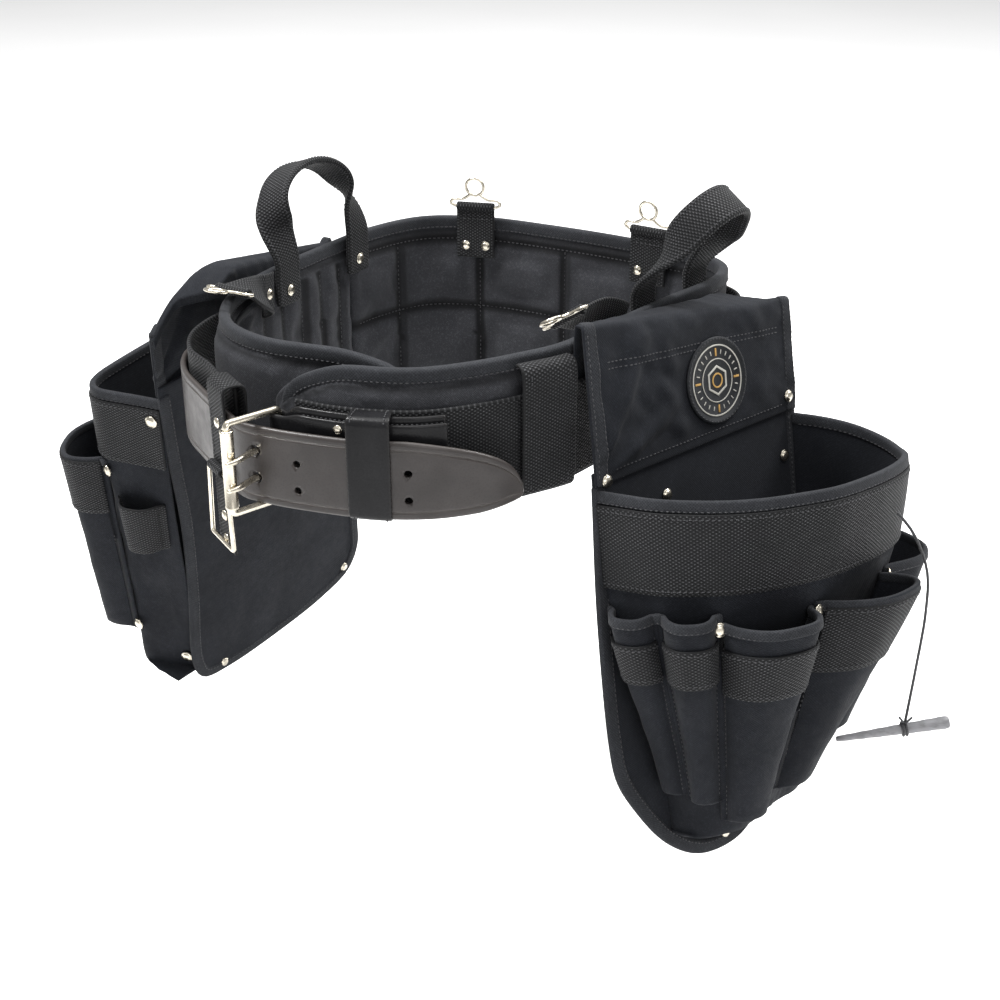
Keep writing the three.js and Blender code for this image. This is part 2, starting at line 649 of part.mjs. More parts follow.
// Points beside an open plan outline, offset to its outer side.
function offsetPlan(points, offset) {
  return points.map((p, i) => {
    const before = points[Math.max(i - 1, 0)];
    const after = points[Math.min(i + 1, points.length - 1)];
    const along = new THREE.Vector2().subVectors(after, before).normalize();
    return new THREE.Vector2(p.x - along.y * offset, p.y + along.x * offset);
  });
}

class Pouch {
  constructor(name, spec) {
    Object.assign(this, spec);
    this.name = name;
    this.frame = new PouchFrame(spec);
  }

  // The main pocket's outline in plan at depth h, from its front seam round to its rear one.
  plan(h) {
    const t = (h - RIM_H) / (this.footH - RIM_H);
    return this.rimPlan.map(([ra, rd], i) => {
      const [fa, fd] = this.footPlan[i];
      const shrink = Math.max(t, 0) ** 1.25;
      return new THREE.Vector2(ra + (fa - ra) * smooth(t * 1.3 - 0.3), rd + (fd - rd) * shrink);
    });
  }

  // The seam below the sleeve rises towards the rear.
  seamRise(a) {
    return this.rimRise * (a / this.outline[1][0]);
  }

  // A rim lies level although the panel leans, and both tilts fade out towards the foot.
  level(h, a, d) {
    const t = Math.min(Math.max((h - RIM_H) / (this.footH - RIM_H), 0), 1);
    const rise = this.seamRise(a) * Math.max(0, 1 - d / 80);
    return h + (this.frame.droop * d - rise) * (1 - t);
  }

  wall(h, from, to) {
    const plan = this.plan(h);
    const outer = offsetPlan(plan, to);
    const inner = offsetPlan(plan, from).reverse();
    return [...outer, ...inner].map((p) => {
      const d = Math.max(p.y, 0);
      return this.frame.at(p.x, this.level(h, p.x, d), d);
    });
  }

  // A point beside the pocket's wall: f runs 0 to 1 along the wall from its front seam.
  wallPoint(f, h, offset) {
    const plan = offsetPlan(this.plan(h), offset);
    const lengths = [0];
    for (let i = 1; i < plan.length; i += 1) {
      lengths.push(lengths[i - 1] + plan[i].distanceTo(plan[i - 1]));
    }
    const goal = Math.min(Math.max(f, 0), 1) * lengths[lengths.length - 1];
    let i = 1;
    while (lengths[i] < goal) i += 1;
    return plan[i - 1].clone().lerp(plan[i], (goal - lengths[i - 1]) / (lengths[i] - lengths[i - 1]));
  }

  addPanel() {
    const rings = [-PANEL, -GAP].map((d) => this.outline.map(([a, h]) => this.frame.at(a, h, d)));
    put(`${this.name}_back_panel`, loft(rings), CANVAS());
  }

  addMainPocket() {
    const top = RIM_H + BAND_DROP;
    const bandHeights = [top, top + BAND_HEIGHT / 2, top + BAND_HEIGHT];
    const heights = [RIM_H, ...bandHeights, 220, 265, 310, this.footH];
    const stations = heights.map((h) => this.wall(h, -WALL, 0));
    const foot = (h) => this.plan(this.footH).map((p) => this.frame.at(p.x, h, Math.max(p.y, 0)));
    const floor = loft([foot(this.footH - 3), foot(this.footH + 0.5)]);
    put(`${this.name}_main_pocket`, join([loft(stations), floor]), CANVAS());
    const bandRings = bandHeights.map((h) => this.wall(h, BAND_GAP, BAND_GAP + BAND_THICK));
    put(`${this.name}_rim_band`, loft(bandRings), WEBBING());
  }

  // A small pocket's middle line at depth h; bulge 0 follows the main pocket's wall.
  smallLine(pocket, h, bulge) {
    const { start, end, depth, top, foot } = pocket;
    const t = Math.min(Math.max((h - top) / (foot - top), 0), 1);
    const reach = depth * (1 - (pocket.taper ?? 0.55) * t) * bulge;
    const points = [];
    for (let i = 0; i <= SMALL_STEPS; i += 1) {
      const x = 0.5 - 0.5 * Math.cos((i / SMALL_STEPS) * Math.PI);
      const lift = (1 - Math.abs(2 * x - 1) ** 3) * reach;
      const f = start + (end - start) * (0.5 + (x - 0.5) * (1 - 0.12 * t));
      points.push(this.wallPoint(f, h, SMALL_OFF + lift));
    }
    return points;
  }

  smallRing(pocket, h, from, to) {
    const line = this.smallLine(pocket, h, 1);
    return this.place([...offsetPlan(line, to), ...offsetPlan(line, from).reverse()], h);
  }

  place(points, h) {
    return points.map((p) => this.frame.at(p.x, this.level(h, p.x, p.y), Math.max(p.y, 1)));
  }

  addSmallPocket(pocket) {
    const { top, foot, bandHigh, bandLow } = pocket;
    const label = `${this.name}_${pocket.name}`;
    const heights = [0, 1, 2, 3].map((i) => top + (foot - top) * (i / 3));
    const shell = loft(heights.map((h) => this.smallRing(pocket, h, 0, SMALL_WALL)));
    if (pocket.open) {
      put(label, shell, WEBBING());
    } else {
      const outer = offsetPlan(this.smallLine(pocket, foot, 1), SMALL_WALL);
      const inner = this.smallLine(pocket, foot, 0).slice(1, -1).reverse();
      const floorRing = (lower) => this.place([...outer, ...inner], foot)
        .map((p) => p.clone().addScaledVector(this.frame.down, lower));
      put(label, join([shell, loft([floorRing(-2), floorRing(0.4)])]), CANVAS());
    }
    if (bandLow) {
      const edge = SMALL_WALL + BAND_GAP;
      const heightsOfBand = [bandHigh, (bandHigh + bandLow) / 2, bandLow];
      const rings = heightsOfBand.map((h) => this.smallRing(pocket, h, edge, edge + 1.5));
      put(`${label}_band`, loft(rings), WEBBING());
    }
  }

  // The sleeve hangs over the belt webbing: its inner layer lies against the pad, its outer one
  // in the pouch's panel, and a fold joins them over the webbing.
  addSleeve() {
    const steps = 14;
    const rings = [];
    const [from, to] = this.sleeveSpan;
    for (let i = 0; i <= steps; i += 1) {
      const a = from + (to - from) * (i / steps);
      const slope = this.sleeveDrop * (a / to) + this.frontDrop * Math.max(0, 1 - a / 70) ** 2;
      const topH = this.frame.depthOf(SLEEVE_TOP - slope, a);
      const face = (h, d) => this.frame.at(a, h, d);
      const top = face(topH, 0);
      const under = webLine.at(webLine.nearest(top.x, top.y), -WEB_HALF - 0.5 - SLEEVE_CLOTH, 0);
      const inset = Math.min(a - this.tunnelSpan[0], this.tunnelSpan[1] - a);
      const inward = smooth(inset / 14);
      const lowered = smooth((inset - 30) / 14);
      const inner = face(topH, -SLEEVE_CLOTH - 2.4).lerp(under, inward);
      const hem = top.z - 6;
      const seam = HINGE_H - 1 - this.seamRise(a);
      const low = hem + (TUNNEL_LOW - hem) * lowered;
      const near = (off, z) => inner.clone().addScaledVector(this.frame.flatOut, off).setZ(z);
      rings.push([
        near(0, low), near(0, top.z), face(topH, SLEEVE_CLOTH), face(seam, SLEEVE_CLOTH),
        face(seam, -SLEEVE_CLOTH), face(seam - 9, -SLEEVE_CLOTH), face(seam - 9, 0),
        face(topH + 3, 0), near(SLEEVE_CLOTH, top.z - 2), near(SLEEVE_CLOTH, low),
      ]);
    }
    put(`${this.name}_sleeve`, loft(rings), CANVAS());
  }

  // A rivet with a negative d has its head on the wearer's side of the panel.
  addRivets() {
    this.rivets.forEach(([label, a, h, d]) => {
      const side = d < 0 ? -1 : 1;
      const at = this.frame.at(a, h, d + side * GAP * 0.6);
      const facing = this.frame.out.clone().multiplyScalar(side);
      put(`${this.name}_rivet_${label}`, rivetHead(at, facing), NICKEL());
    });
  }

  build() {
    this.addSleeve();
    this.addPanel();
    this.addMainPocket();
    this.pockets.forEach((pocket) => this.addSmallPocket(pocket));
    this.addRivets();
  }
}

addPad();
addWebbing();
addBillet();
addBuckleStrap();
addKeeper();
addBuckle();
addHandle('handle_left', [-153.5, -26], [-152, 64], 58, 0.3, ['front', 'rear']);
addHandle('handle_right', [116, 38], [127, 100], 74, 0.6, ['front', 'rear']);
addSuspenders();
addToolTab();

// ---------- patch, pull cord and toggle on the right pouch ----------
function addPatch(frame) {
  const disc = new THREE.CylinderGeometry(PATCH_RADIUS, PATCH_RADIUS, 1.6, 28);
  disc.applyQuaternion(new THREE.Quaternion().setFromUnitVectors(new THREE.Vector3(0, 1, 0), frame.out));
  const at = frame.at(117, 53, SLEEVE_CLOTH + GAP + 0.8);
  put('sleeve_patch', disc.translate(at.x, at.y, at.z), PATCH_RUBBER());
}

function addToggle(frame) {
  const path = [
    [164, 144, 110], [172, 158, 115], [180, 185, 119], [184, 215, 114], [185, 255, 104], [183, 298, 94],
  ].map(([a, h, d]) => frame.at(a, h, d));
  put('pull_cord', rod(path, CORD_RADIUS, 8, 24), CORD());
  const end = path[path.length - 1].clone();
  const direction = new THREE.Vector3(0.851, 0.491, 0.184).normalize();
  const bar = new THREE.CylinderGeometry(2, 4.5, TOGGLE_LENGTH, 12);
  bar.applyQuaternion(new THREE.Quaternion().setFromUnitVectors(new THREE.Vector3(0, 1, 0), direction));
  end.addScaledVector(direction, -8);
  end.z -= 4.6 + GAP;
  put('pull_toggle', bar.translate(end.x, end.y, end.z), GREY_PLASTIC());
}

const rightPouch = new Pouch('right', {
  corner: [111.5, -60.5, 86],
  azimuth: 72,
  tilt: 14,
  roll: -5,
  sleeveSpan: [0, 198],
  sleeveDrop: 24,
  frontDrop: 0,
  rimRise: 17,
  tunnelSpan: [-60, 180],
  outline: [
    [0, HINGE_H + 1], [198, HINGE_H - 16], [200, 312], [194, 338], [175, 356], [131, 371], [108, 381],
    [71, 379], [40, 360], [14, 328], [0, 303], [-4, 280], [-5, 190],
  ],
  footH: 352,
  rimPlan: [
    [1, 0], [4, 20], [8, 40], [17, 58], [32, 76], [55, 93], [80, 103], [105, 110], [133, 110], [160, 107],
    [186, 100], [204, 90], [214, 74], [218, 54], [216, 34], [208, 16], [197, 0],
  ],
  footPlan: [
    [44, 0], [43, 10], [44, 20], [48, 28], [56, 34], [66, 37], [78, 38], [92, 36], [106, 33], [120, 29],
    [136, 27], [152, 24], [166, 20], [176, 15], [183, 10], [186, 5], [186, 0],
  ],
  pockets: [
    { name: 'tube_pocket_front', start: 0.02, end: 0.097, depth: 14, top: 182, foot: 316, bandHigh: 200, bandLow: 228 },
    { name: 'tube_pocket_rear', start: 0.126, end: 0.212, depth: 16, top: 182, foot: 320, bandHigh: 200, bandLow: 228 },
    { name: 'middle_pocket', start: 0.235, end: 0.41, depth: 26, top: 188, foot: 336, bandHigh: 206, bandLow: 238 },
    { name: 'side_pocket', start: 0.45, end: 0.65, depth: 30, top: 186, foot: 326, bandHigh: 190, bandLow: 236 },
    { name: 'rear_pocket', start: 0.7, end: 0.88, depth: 28, top: 184, foot: 306 },
  ],
  rivets: [
    ['rim', 8, 100, 2.2], ['seam', 64, 121, 0], ['back', 185, 118, 0], ['foot_front', 84, 366, 0],
  ],
});
rightPouch.build();
addPatch(rightPouch.frame);
addToggle(rightPouch.frame);

const leftPouch = new Pouch('left', {
  corner: [-197.2, -114, 84],
  azimuth: -98,
  tilt: 10,
  roll: 9,
  sleeveSpan: [0, 178],
  sleeveDrop: 22,
  frontDrop: 52,
  rimRise: 0,
  tunnelSpan: [22, 260],
  outline: [
    [0, HINGE_H + 1], [198, HINGE_H + 1], [200, 340], [199, 372], [186, 392], [150, 402], [90, 405],
    [40, 403], [12, 396], [4, 378], [7, 300], [8, 230], [3, 160],
  ],
  footH: 384,
  rimPlan: [
    [0, 0], [-6, 16], [-13, 33], [-18, 48], [-15, 58], [-4, 64], [18, 67], [50, 69], [88, 70], [122, 69],
    [150, 66], [172, 60], [187, 50], [194, 38], [197, 25], [198, 12], [197, 0],
  ],
  footPlan: [
    [8, 0], [0, 13], [-8, 26], [-15, 38], [-11, 47], [4, 51], [28, 53], [58, 52], [88, 51], [112, 49],
    [134, 45], [152, 39], [164, 32], [171, 24], [175, 16], [176, 8], [176, 0],
  ],
  pockets: [
    { name: 'gusset_loop', start: 0.035, end: 0.125, depth: 9, top: 205, foot: 248, open: true, taper: 0 },
    { name: 'outer_pocket', start: 0.18, end: 0.4, depth: 32, top: 172, foot: 346, taper: 0.25, bandHigh: 174, bandLow: 224 },
  ],
  rivets: [['seam', 35, 140, -PANEL], ['foot_front', 34, 396, -PANEL], ['foot_rear', 182, 386, -PANEL]],
});
leftPouch.build();

export default root;
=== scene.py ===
import math

import bmesh
import bpy
import numpy as np
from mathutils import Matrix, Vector, noise


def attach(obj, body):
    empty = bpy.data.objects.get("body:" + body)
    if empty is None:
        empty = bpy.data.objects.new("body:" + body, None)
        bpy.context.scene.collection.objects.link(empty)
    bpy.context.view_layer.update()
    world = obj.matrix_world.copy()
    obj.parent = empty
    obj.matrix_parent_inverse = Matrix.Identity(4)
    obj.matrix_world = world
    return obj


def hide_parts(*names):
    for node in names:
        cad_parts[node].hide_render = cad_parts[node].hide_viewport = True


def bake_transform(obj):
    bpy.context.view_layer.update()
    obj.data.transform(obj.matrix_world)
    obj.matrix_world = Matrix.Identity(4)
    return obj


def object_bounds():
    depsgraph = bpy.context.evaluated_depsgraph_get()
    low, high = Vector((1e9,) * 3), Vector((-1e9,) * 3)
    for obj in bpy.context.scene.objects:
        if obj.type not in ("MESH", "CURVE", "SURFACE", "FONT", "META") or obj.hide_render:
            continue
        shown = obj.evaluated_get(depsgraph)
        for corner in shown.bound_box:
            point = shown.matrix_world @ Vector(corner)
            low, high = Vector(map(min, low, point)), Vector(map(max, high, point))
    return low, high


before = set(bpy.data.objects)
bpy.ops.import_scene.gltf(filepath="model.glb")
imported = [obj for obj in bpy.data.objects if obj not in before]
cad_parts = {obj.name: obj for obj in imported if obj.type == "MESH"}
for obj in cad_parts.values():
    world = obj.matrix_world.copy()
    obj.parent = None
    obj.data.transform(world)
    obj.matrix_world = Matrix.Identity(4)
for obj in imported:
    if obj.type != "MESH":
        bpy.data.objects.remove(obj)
CAD_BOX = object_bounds()

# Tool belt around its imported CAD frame. Lengths here are millimetres in the CAD's own axes:
# +Z up, -Y the wearer's front, the origin in the middle of the waist. MM turns them to metres.
MM = 0.001

# ---------- driving dimensions, as in the CAD ----------
PAD_TOP = 72
PAD_BOTTOM_BACK = -78
PAD_BOTTOM_FRONT = -22
PAD_HALF = 6
WEB_LOW, WEB_HIGH, WEB_THICK = -13, 48, 3
BILLET_THICK = 4
PRONG_HOLE, SPARE_HOLE = 3.9, 2.5    # radii of the holes the prongs pass, and of the ones beside them
STRAP_THICK = 2.8
STRAP_BACK, STRAP_FACE = 15.4, 19    # how far the buckle strap's two layers lie outside the pad's line
STRAP_LOW, STRAP_HIGH = -11, (46, 42)
STRAP_AT_BAR = 38.8                  # its top where it turns round the buckle's bar
KEEPER_AT = (21.35, 16.7)            # the middle of the keeper's loop, outward and up
PRONG_HEIGHTS = (19, 1)
BAR = (-37.5, -177.5)
ROLLER = (-50, -213)
BUCKLE_LOW, BUCKLE_HIGH = -18.5, 42
BUCKLE_WIRE = 2.3
HANDLE_WIDTH, HANDLE_THICK, HANDLE_FOOT = 26, 4.4, 48
HANDLE_GAP = 1.7                     # between the pad's cloth and a handle's foot
TAB_WIDTH, TAB_THICK = 28, 2.4
TAB_RISE, TAB_BACK_LENGTH = 11, 40
EYE_MIDDLE, EYE_THICK = 2.4, 2.0     # the webbing folded round a ring's wire
RING_WIRE, RING_RADIUS, RING_CENTRE = 1.2, 7, 16.4
TOOL_TAB = (-78, -182)
TOOL_TAB_WIDTH, TOOL_TAB_FOOT = 26, -63
TOOL_RING_TOP, TOOL_RING_DROP, TOOL_WIRE = -5, 52, 1.5
SLEEVE_TOP = 86
HINGE_H = 103                        # the riveted seam where a pouch swings, down from the sleeve's top
BEND_ABOVE, BEND_BELOW = 12, 10      # distances either side of that seam for the points handed on as blend, which only bakes the panel's placement; the cloth is not bent there
RIM_H = 106
WALL = 2.4
BAND_HEIGHT, BAND_DROP = 54, 8
BAND_MIDDLE, BAND_THICK = 1.5, 1.8
SMALL_OFF, SMALL_WALL = 3.4, 2
PANEL_MIDDLE, PANEL_THICK = -1.5, 2.2
SLEEVE_CLOTH = 1.8
TUNNEL_LOW = -17
PATCH_AT, PATCH_RADIUS = (117, 53), 29.5
CORD_DIAMETER = 2
TOGGLE_LENGTH = 78
RIVET, WALL_RIVET, SMALL_RIVET = (4.2, 2.0), (4.9, 2.4), (3.6, 1.7)     # a head's radius and height

# ---------- sewing ----------
QUILT_SEAMS = (406, 478, 552, 628, 700)       # upright seams of the lumbar panel, along the pad
LEFT_CHANNELS = (240, 265, 289, 313, 337)     # sewn channels of the left wing
RIGHT_CHANNELS = (770, 794, 818, 842, 866)
QUILT_LEVEL = 0                               # the level seam half way up the lumbar panel
BORDER = 17                                   # the seam below the pad's top binding
STITCH_PITCH = 3.6
LEATHER_PITCH = 3.0                           # finer stitches in leather and round the patch
STITCH_STOPS = (0, 0.14, 0.5, 0.6)            # a stitch's four sections, in shares of the pitch,
STITCH_LIFT = (-0.3, 0.22, 0.22, -0.3)        # how high each lies over the cloth
STITCH_SIZE = (0.2, 0.42, 0.42, 0.2)          # and its half width
TAPE = 10                                     # width of the binding tape
WEAVE = 1.9                                   # pitch of the belt webbing's weave

PAD_LINE = (
    (30, -131), (-20, -139), (-72, -146), (-112, -131), (-138, -97), (-151, -50), (-154, 30),
    (-150, 95), (-131, 140), (-90, 161), (-30, 167), (30, 167), (90, 161), (121, 143), (129, 112),
    (118.7, 54), (108.3, -4), (98, -62), (85, -88), (66, -118), (40, -145), (0, -160), (-50, -164),
)
WEB_LINE = (
    (-71, -177), (-92.5, -165), (-112, -152), (-140, -137), (-159, -114), (-168, -86), (-169.7, -55),
    (-169.7, 5), (-169.7, 65), (-164, 112), (-142, 151), (-94, 173), (-30, 178.5), (30, 178.5),
    (95, 172.5), (131, 152), (139.2, 110.2), (128.9, 52.2), (118.5, -5.8), (108.2, -63.8), (94, -93),
    (74, -124.5), (46.5, -153), (2, -170.4), (-26, -173),
)
BILLET_LINE = (
    (-172, -90), (-162.5, -118), (-143, -141), (-116, -159), (-96, -171), (-75, -183), (-55, -193),
    (-37, -193), (-15, -190), (31, -178), (64, -159.5), (86.5, -134.5), (98, -112),
)


# ---------- small maths ----------
def unit(v):
    return v / (np.linalg.norm(v, axis=-1, keepdims=True) + 1e-12)


def square_to(v, along):
    """Unit vectors nearest to v that stand square to the directions along."""
    return unit(v - (v * along).sum(-1, keepdims=True) * along)


def vec(*values):
    return np.array(values, float)


def smooth(t):
    c = np.clip(t, 0, 1)
    return c * c * (3 - 2 * c)


def spline(corners, per_span=12):
    """The centripetal Catmull-Rom curve through corner points."""
    p = np.asarray(corners, float)
    ends = np.vstack([2 * p[0] - p[1], p, 2 * p[-1] - p[-2]])
    out = []
    for i in range(len(p) - 1):
        a, b, c, d = ends[i:i + 4]
        ab, bc, cd = (max(np.linalg.norm(q - r) ** 0.5, 1e-4) for q, r in ((b, a), (c, b), (d, c)))
        start = ((b - a) / ab - (c - a) / (ab + bc) + (c - b) / bc) * bc
        end = ((c - b) / bc - (d - b) / (bc + cd) + (d - c) / cd) * bc
        for k in range(per_span):
            t = k / per_span
            t2, t3 = t * t, t * t * t
            out.append((2 * t3 - 3 * t2 + 1) * b + (t3 - 2 * t2 + t) * start
                       + (3 * t2 - 2 * t3) * c + (t3 - t2) * end)
    out.append(p[-1])
    return np.array(out)


def lengths_of(points):
    return np.concatenate([[0], np.cumsum(np.linalg.norm(np.diff(points, axis=0), axis=1))])


def read_at(goal, s, values):
    """Rows of values read off at lengths goal, where s holds each row's own length."""
    return np.stack([np.interp(goal, s, values[:, k]) for k in range(values.shape[1])], -1)


def resample(points, count):
    """Points at even steps along a polyline."""
    s = lengths_of(points)
    return read_at(np.linspace(0, s[-1], count), s, points)


def eased(points, rounds=2):
    """A polyline with its corners rounded, its ends kept."""
    p = np.array(points, float)
    for _ in range(rounds):
        p[1:-1] = (p[:-2] + 2 * p[1:-1] + p[2:]) / 4
    return p


def rumple(points, scale, seed):
    """Soft noise between -1 and 1 at each point, the same on every run."""
    flat = points.reshape(-1, 3) / scale + seed
    values = [noise.noise(Vector(p)) for p in flat]
    return np.array(values).reshape(points.shape[:-1])


def sideways(points, offset):
    """Points beside an open plan outline, offset to its outer side."""
    along = unit(np.gradient(points, axis=0))
    return points + np.stack([-along[:, 1], along[:, 0]], -1) * offset


class PlanLine:
    """A line in plan with positions by arc length; offsets go to its outward side."""

    def __init__(self, corners, outward=1):
        self.points = spline(corners)
        self.s = lengths_of(self.points)
        self.length = self.s[-1]
        along = unit(np.gradient(self.points, axis=0))
        self.side = np.stack([-along[:, 1], along[:, 0]], -1) * outward

    def at(self, s, offset=0.0, z=0.0):
        s, offset, z = np.broadcast_arrays(np.asarray(s, float), offset, z)
        xy = [np.interp(s, self.s, self.points[:, k]) for k in (0, 1)]
        side = [np.interp(s, self.s, self.side[:, k]) for k in (0, 1)]
        return np.stack([xy[0] + side[0] * offset, xy[1] + side[1] * offset, z * 1.0], -1)

    def out(self, s):
        return unit(self.at(s, 1) - self.at(s, 0))

    def nearest(self, x, y):
        return self.s[np.argmin(np.hypot(self.points[:, 0] - x, self.points[:, 1] - y))]


pad_line = PlanLine(PAD_LINE)
web_line = PlanLine(WEB_LINE)
billet_line = PlanLine(BILLET_LINE, -1)
front_line = PlanLine(PAD_LINE[16:][::-1], -1)


# ---------- meshes ----------
def rounded_box(width, thick, corner, steps=3):
    """A closed section with round corners: (across, face) pairs, the last one repeating the first."""
    points = []
    for k, (sx, sy) in enumerate(((1, 1), (-1, 1), (-1, -1), (1, -1))):
        for i in range(steps + 1):
            a = math.pi / 2 * (k + i / steps)
            points.append((sx * (width / 2 - corner) + corner * math.cos(a),
                           sy * (thick / 2 - corner) + corner * math.sin(a)))
    return np.array(points + points[:1])


def circle(radius, sides=12):
    a = np.linspace(0, 2 * math.pi, sides + 1)
    return np.stack([np.cos(a), np.sin(a)], -1) * radius


def turn_round(u, v, steps):
    """Unit directions round a whole turn from u through v, the last one repeating the first."""
    a = np.linspace(0, 2 * math.pi, steps + 1)
    return np.cos(a)[:, None] * u + np.sin(a)[:, None] * v


class Piece:
    """A mesh in the making: grids of points, each with its cloth coordinates and material."""

    def __init__(self, *materials):
        self.materials = materials
        self.points, self.faces, self.flats, self.slots = [], [], [], []
        self.count = 0

    def grid(self, points, flat, slot=0):
        n, m = points.shape[:2]
        index = np.arange(n * m).reshape(n, m) + self.count
        corners = ((slice(None, -1), slice(None, -1)), (slice(1, None), slice(None, -1)),
                   (slice(1, None), slice(1, None)), (slice(None, -1), slice(1, None)))
        self.faces.append(np.stack([index[c] for c in corners], -1).reshape(-1, 4))
        self.flats.append(np.stack([flat[c] for c in corners], -2).reshape(-1, 4, 2))
        self.slots.append(np.full((n - 1) * (m - 1), slot))
        self.points.append(points.reshape(-1, 3))
        self.count += n * m

    def sheet(self, middle, thick, slot=0, flat=None, loop=False, turn=0.0):
        """A sheet with rounded edges about a grid of middle points. loop joins its last column
        to its first, and turn lays the weave at another start."""
        if flat is None:
            across = lengths_of(middle[:, middle.shape[1] // 2])
            along = lengths_of(middle[middle.shape[0] // 2])
            flat = np.stack(np.meshgrid(along + turn, across), -1)
        normal = grid_normals(middle, loop)
        n, m = middle.shape[:2]
        rows = np.clip(np.arange(-2, n + 2), 0, n - 1)
        columns = np.arange(m) if loop else np.clip(np.arange(-2, m + 2), 0, m - 1)
        past_row = np.concatenate([[2, 1], np.zeros(n), [1, 2]])
        past_column = np.zeros(m) if loop else np.concatenate([[2, 1], np.zeros(m), [1, 2]])
        base = middle[rows][:, columns]
        side = normal[rows][:, columns]
        outward = np.zeros_like(base)
        outward[:2] += unit(middle[0] - middle[1])[columns]
        outward[-2:] += unit(middle[-1] - middle[-2])[columns]
        if not loop:
            outward[:, :2] += unit(middle[:, 0] - middle[:, 1])[rows][:, None]
            outward[:, -2:] += unit(middle[:, -1] - middle[:, -2])[rows][:, None]
        ring = np.maximum(past_row[:, None], past_column[None, :])
        angle = (ring * math.pi / 4)[..., None]
        outward = unit(outward) * (ring[..., None] > 0)
        half = thick / 2
        spread = flat[rows][:, columns]
        for face in (1, -1):
            layer = base + outward * half * np.sin(angle) + side * half * face * np.cos(angle)
            if face > 0:
                self.grid(layer, spread, slot)
            else:
                self.grid(layer[::-1], spread[::-1], slot)
        return middle + normal * half

    def tube(self, path, across, section, slot=0, caps=True, closed=False, shrink=None):
        """A section swept along a path; across is the section's width direction."""
        path = np.asarray(path, float)
        if closed:
            tangent = unit(np.roll(path, -1, 0) - np.roll(path, 1, 0))
        else:
            tangent = unit(np.gradient(path, axis=0))
        across = np.broadcast_to(np.asarray(across, float), path.shape)
        across = square_to(across, tangent)
        face = np.cross(tangent, across)
        if closed:
            path, across, face = (np.vstack([v, v[:1]]) for v in (path, across, face))
        size = np.ones(len(path)) if shrink is None else np.asarray(shrink, float)
        if caps and not closed:
            reach = section[:, 1].max()
            ends = [path[0] - tangent[0] * reach * k for k in (0.9, 0.55)]
            tips = [path[-1] + tangent[-1] * reach * k for k in (0.55, 0.9)]
            path = np.vstack([ends, path, tips])
            across = np.vstack([across[:1]] * 2 + [across] + [across[-1:]] * 2)
            face = np.vstack([face[:1]] * 2 + [face] + [face[-1:]] * 2)
            size = np.concatenate([[0, 0.8 * size[0]], size, [0.8 * size[-1], 0]])
        points = (path[:, None] + across[:, None] * section[None, :, :1] * size[:, None, None]
                  + face[:, None] * section[None, :, 1:] * size[:, None, None])
        flat = np.stack(np.meshgrid(lengths_of(section), lengths_of(path)), -1)
        self.grid(points[:, ::-1], flat[:, ::-1], slot)

    def turned(self, profile, at, axis, slot=0, sides=24):
        """A profile of (radius, height) turned about an axis through a point."""
        axis = unit(np.asarray(axis, float))
        helper = vec(0, 0, 1) if abs(axis[2]) < 0.9 else vec(1, 0, 0)
        u = unit(np.cross(helper, axis))
        v = np.cross(axis, u)
        a = np.linspace(0, 2 * math.pi, sides + 1)
        profile = np.asarray(profile, float)
        points = (np.asarray(at, float) + profile[:, None, :1] * turn_round(u, v, sides)[None]
                  + profile[:, None, 1:] * axis)
        flat = np.stack(np.meshgrid(a * profile[:, 0].max(), lengths_of(profile)), -1)
        self.grid(points[::-1], flat[::-1], slot)

    def stitches(self, path, normal, slot=1, pitch=STITCH_PITCH):
        """A row of thread stitches lying on a surface along a path."""
        path = np.asarray(path, float)
        s = lengths_of(path)
        count = int(s[-1] / pitch)
        if count < 1:
            return
        starts = (np.arange(count) + 0.2) * pitch
        normal = np.broadcast_to(np.asarray(normal, float), path.shape)
        lift = np.array(STITCH_LIFT)[:, None]
        size = np.array(STITCH_SIZE)[:, None, None]
        diamond = np.array([(1, 0), (0, 1), (-1, 0), (0, -1), (1, 0)])
        for start in starts:
            stops = start + np.array(STITCH_STOPS) * pitch
            p = read_at(stops, s, path)
            n = unit(read_at(stops, s, normal))
            width = unit(np.cross(n, unit(p[-1] - p[0])))
            points = ((p + n * lift)[:, None] + width[:, None] * diamond[None, :, :1] * size
                      + n[:, None] * diamond[None, :, 1:] * size * 0.8)
            flat = np.zeros(points.shape[:2] + (2,))
            self.grid(points, flat, slot)

    def rivet(self, at, direction, radius=RIVET[0], height=RIVET[1], slot=0):
        """A domed rivet head with its flat rim, standing on a surface."""
        r, h = radius, height
        profile = [(0, -0.6), (r, -0.6), (r, 0.25 * h), (0.93 * r, 0.4 * h), (0.8 * r, 0.42 * h),
                   (0.72 * r, 0.7 * h), (0.5 * r, 0.92 * h), (0.25 * r, 0.99 * h), (0, h)]
        self.turned(profile, at, direction, slot)

    def make(self, name, body, *nodes, slot=None, blend=None):
        """Makes the object, attaches it to its body or, with a blend, bakes its placement into the mesh,
        and hides the CAD nodes it stands for.
        """
        return finish_piece(self.object(name), body, nodes, blend)

    def object(self, name):
        """The mesh as an object that rides on nothing yet."""
        mesh = bpy.data.meshes.new(name)
        mesh.from_pydata((np.vstack(self.points) * MM).tolist(), [], np.vstack(self.faces).tolist())
        layer = mesh.uv_layers.new(name="cloth")
        layer.data.foreach_set("uv", (np.vstack(self.flats) * MM).ravel().astype(np.float32))
        mesh.polygons.foreach_set("material_index", np.concatenate(self.slots).astype(np.int32))
        for material in self.materials:
            mesh.materials.append(material)
        weld(mesh)
        thing = bpy.data.objects.new(name, mesh)
        bpy.context.scene.collection.objects.link(thing)
        return thing


def mesh_points(mesh):
    flat = np.zeros(len(mesh.vertices) * 3)
    mesh.vertices.foreach_get("co", flat)
    return flat.reshape(-1, 3)


def shade_smooth(mesh):
    mesh.polygons.foreach_set("use_smooth", [True] * len(mesh.polygons))


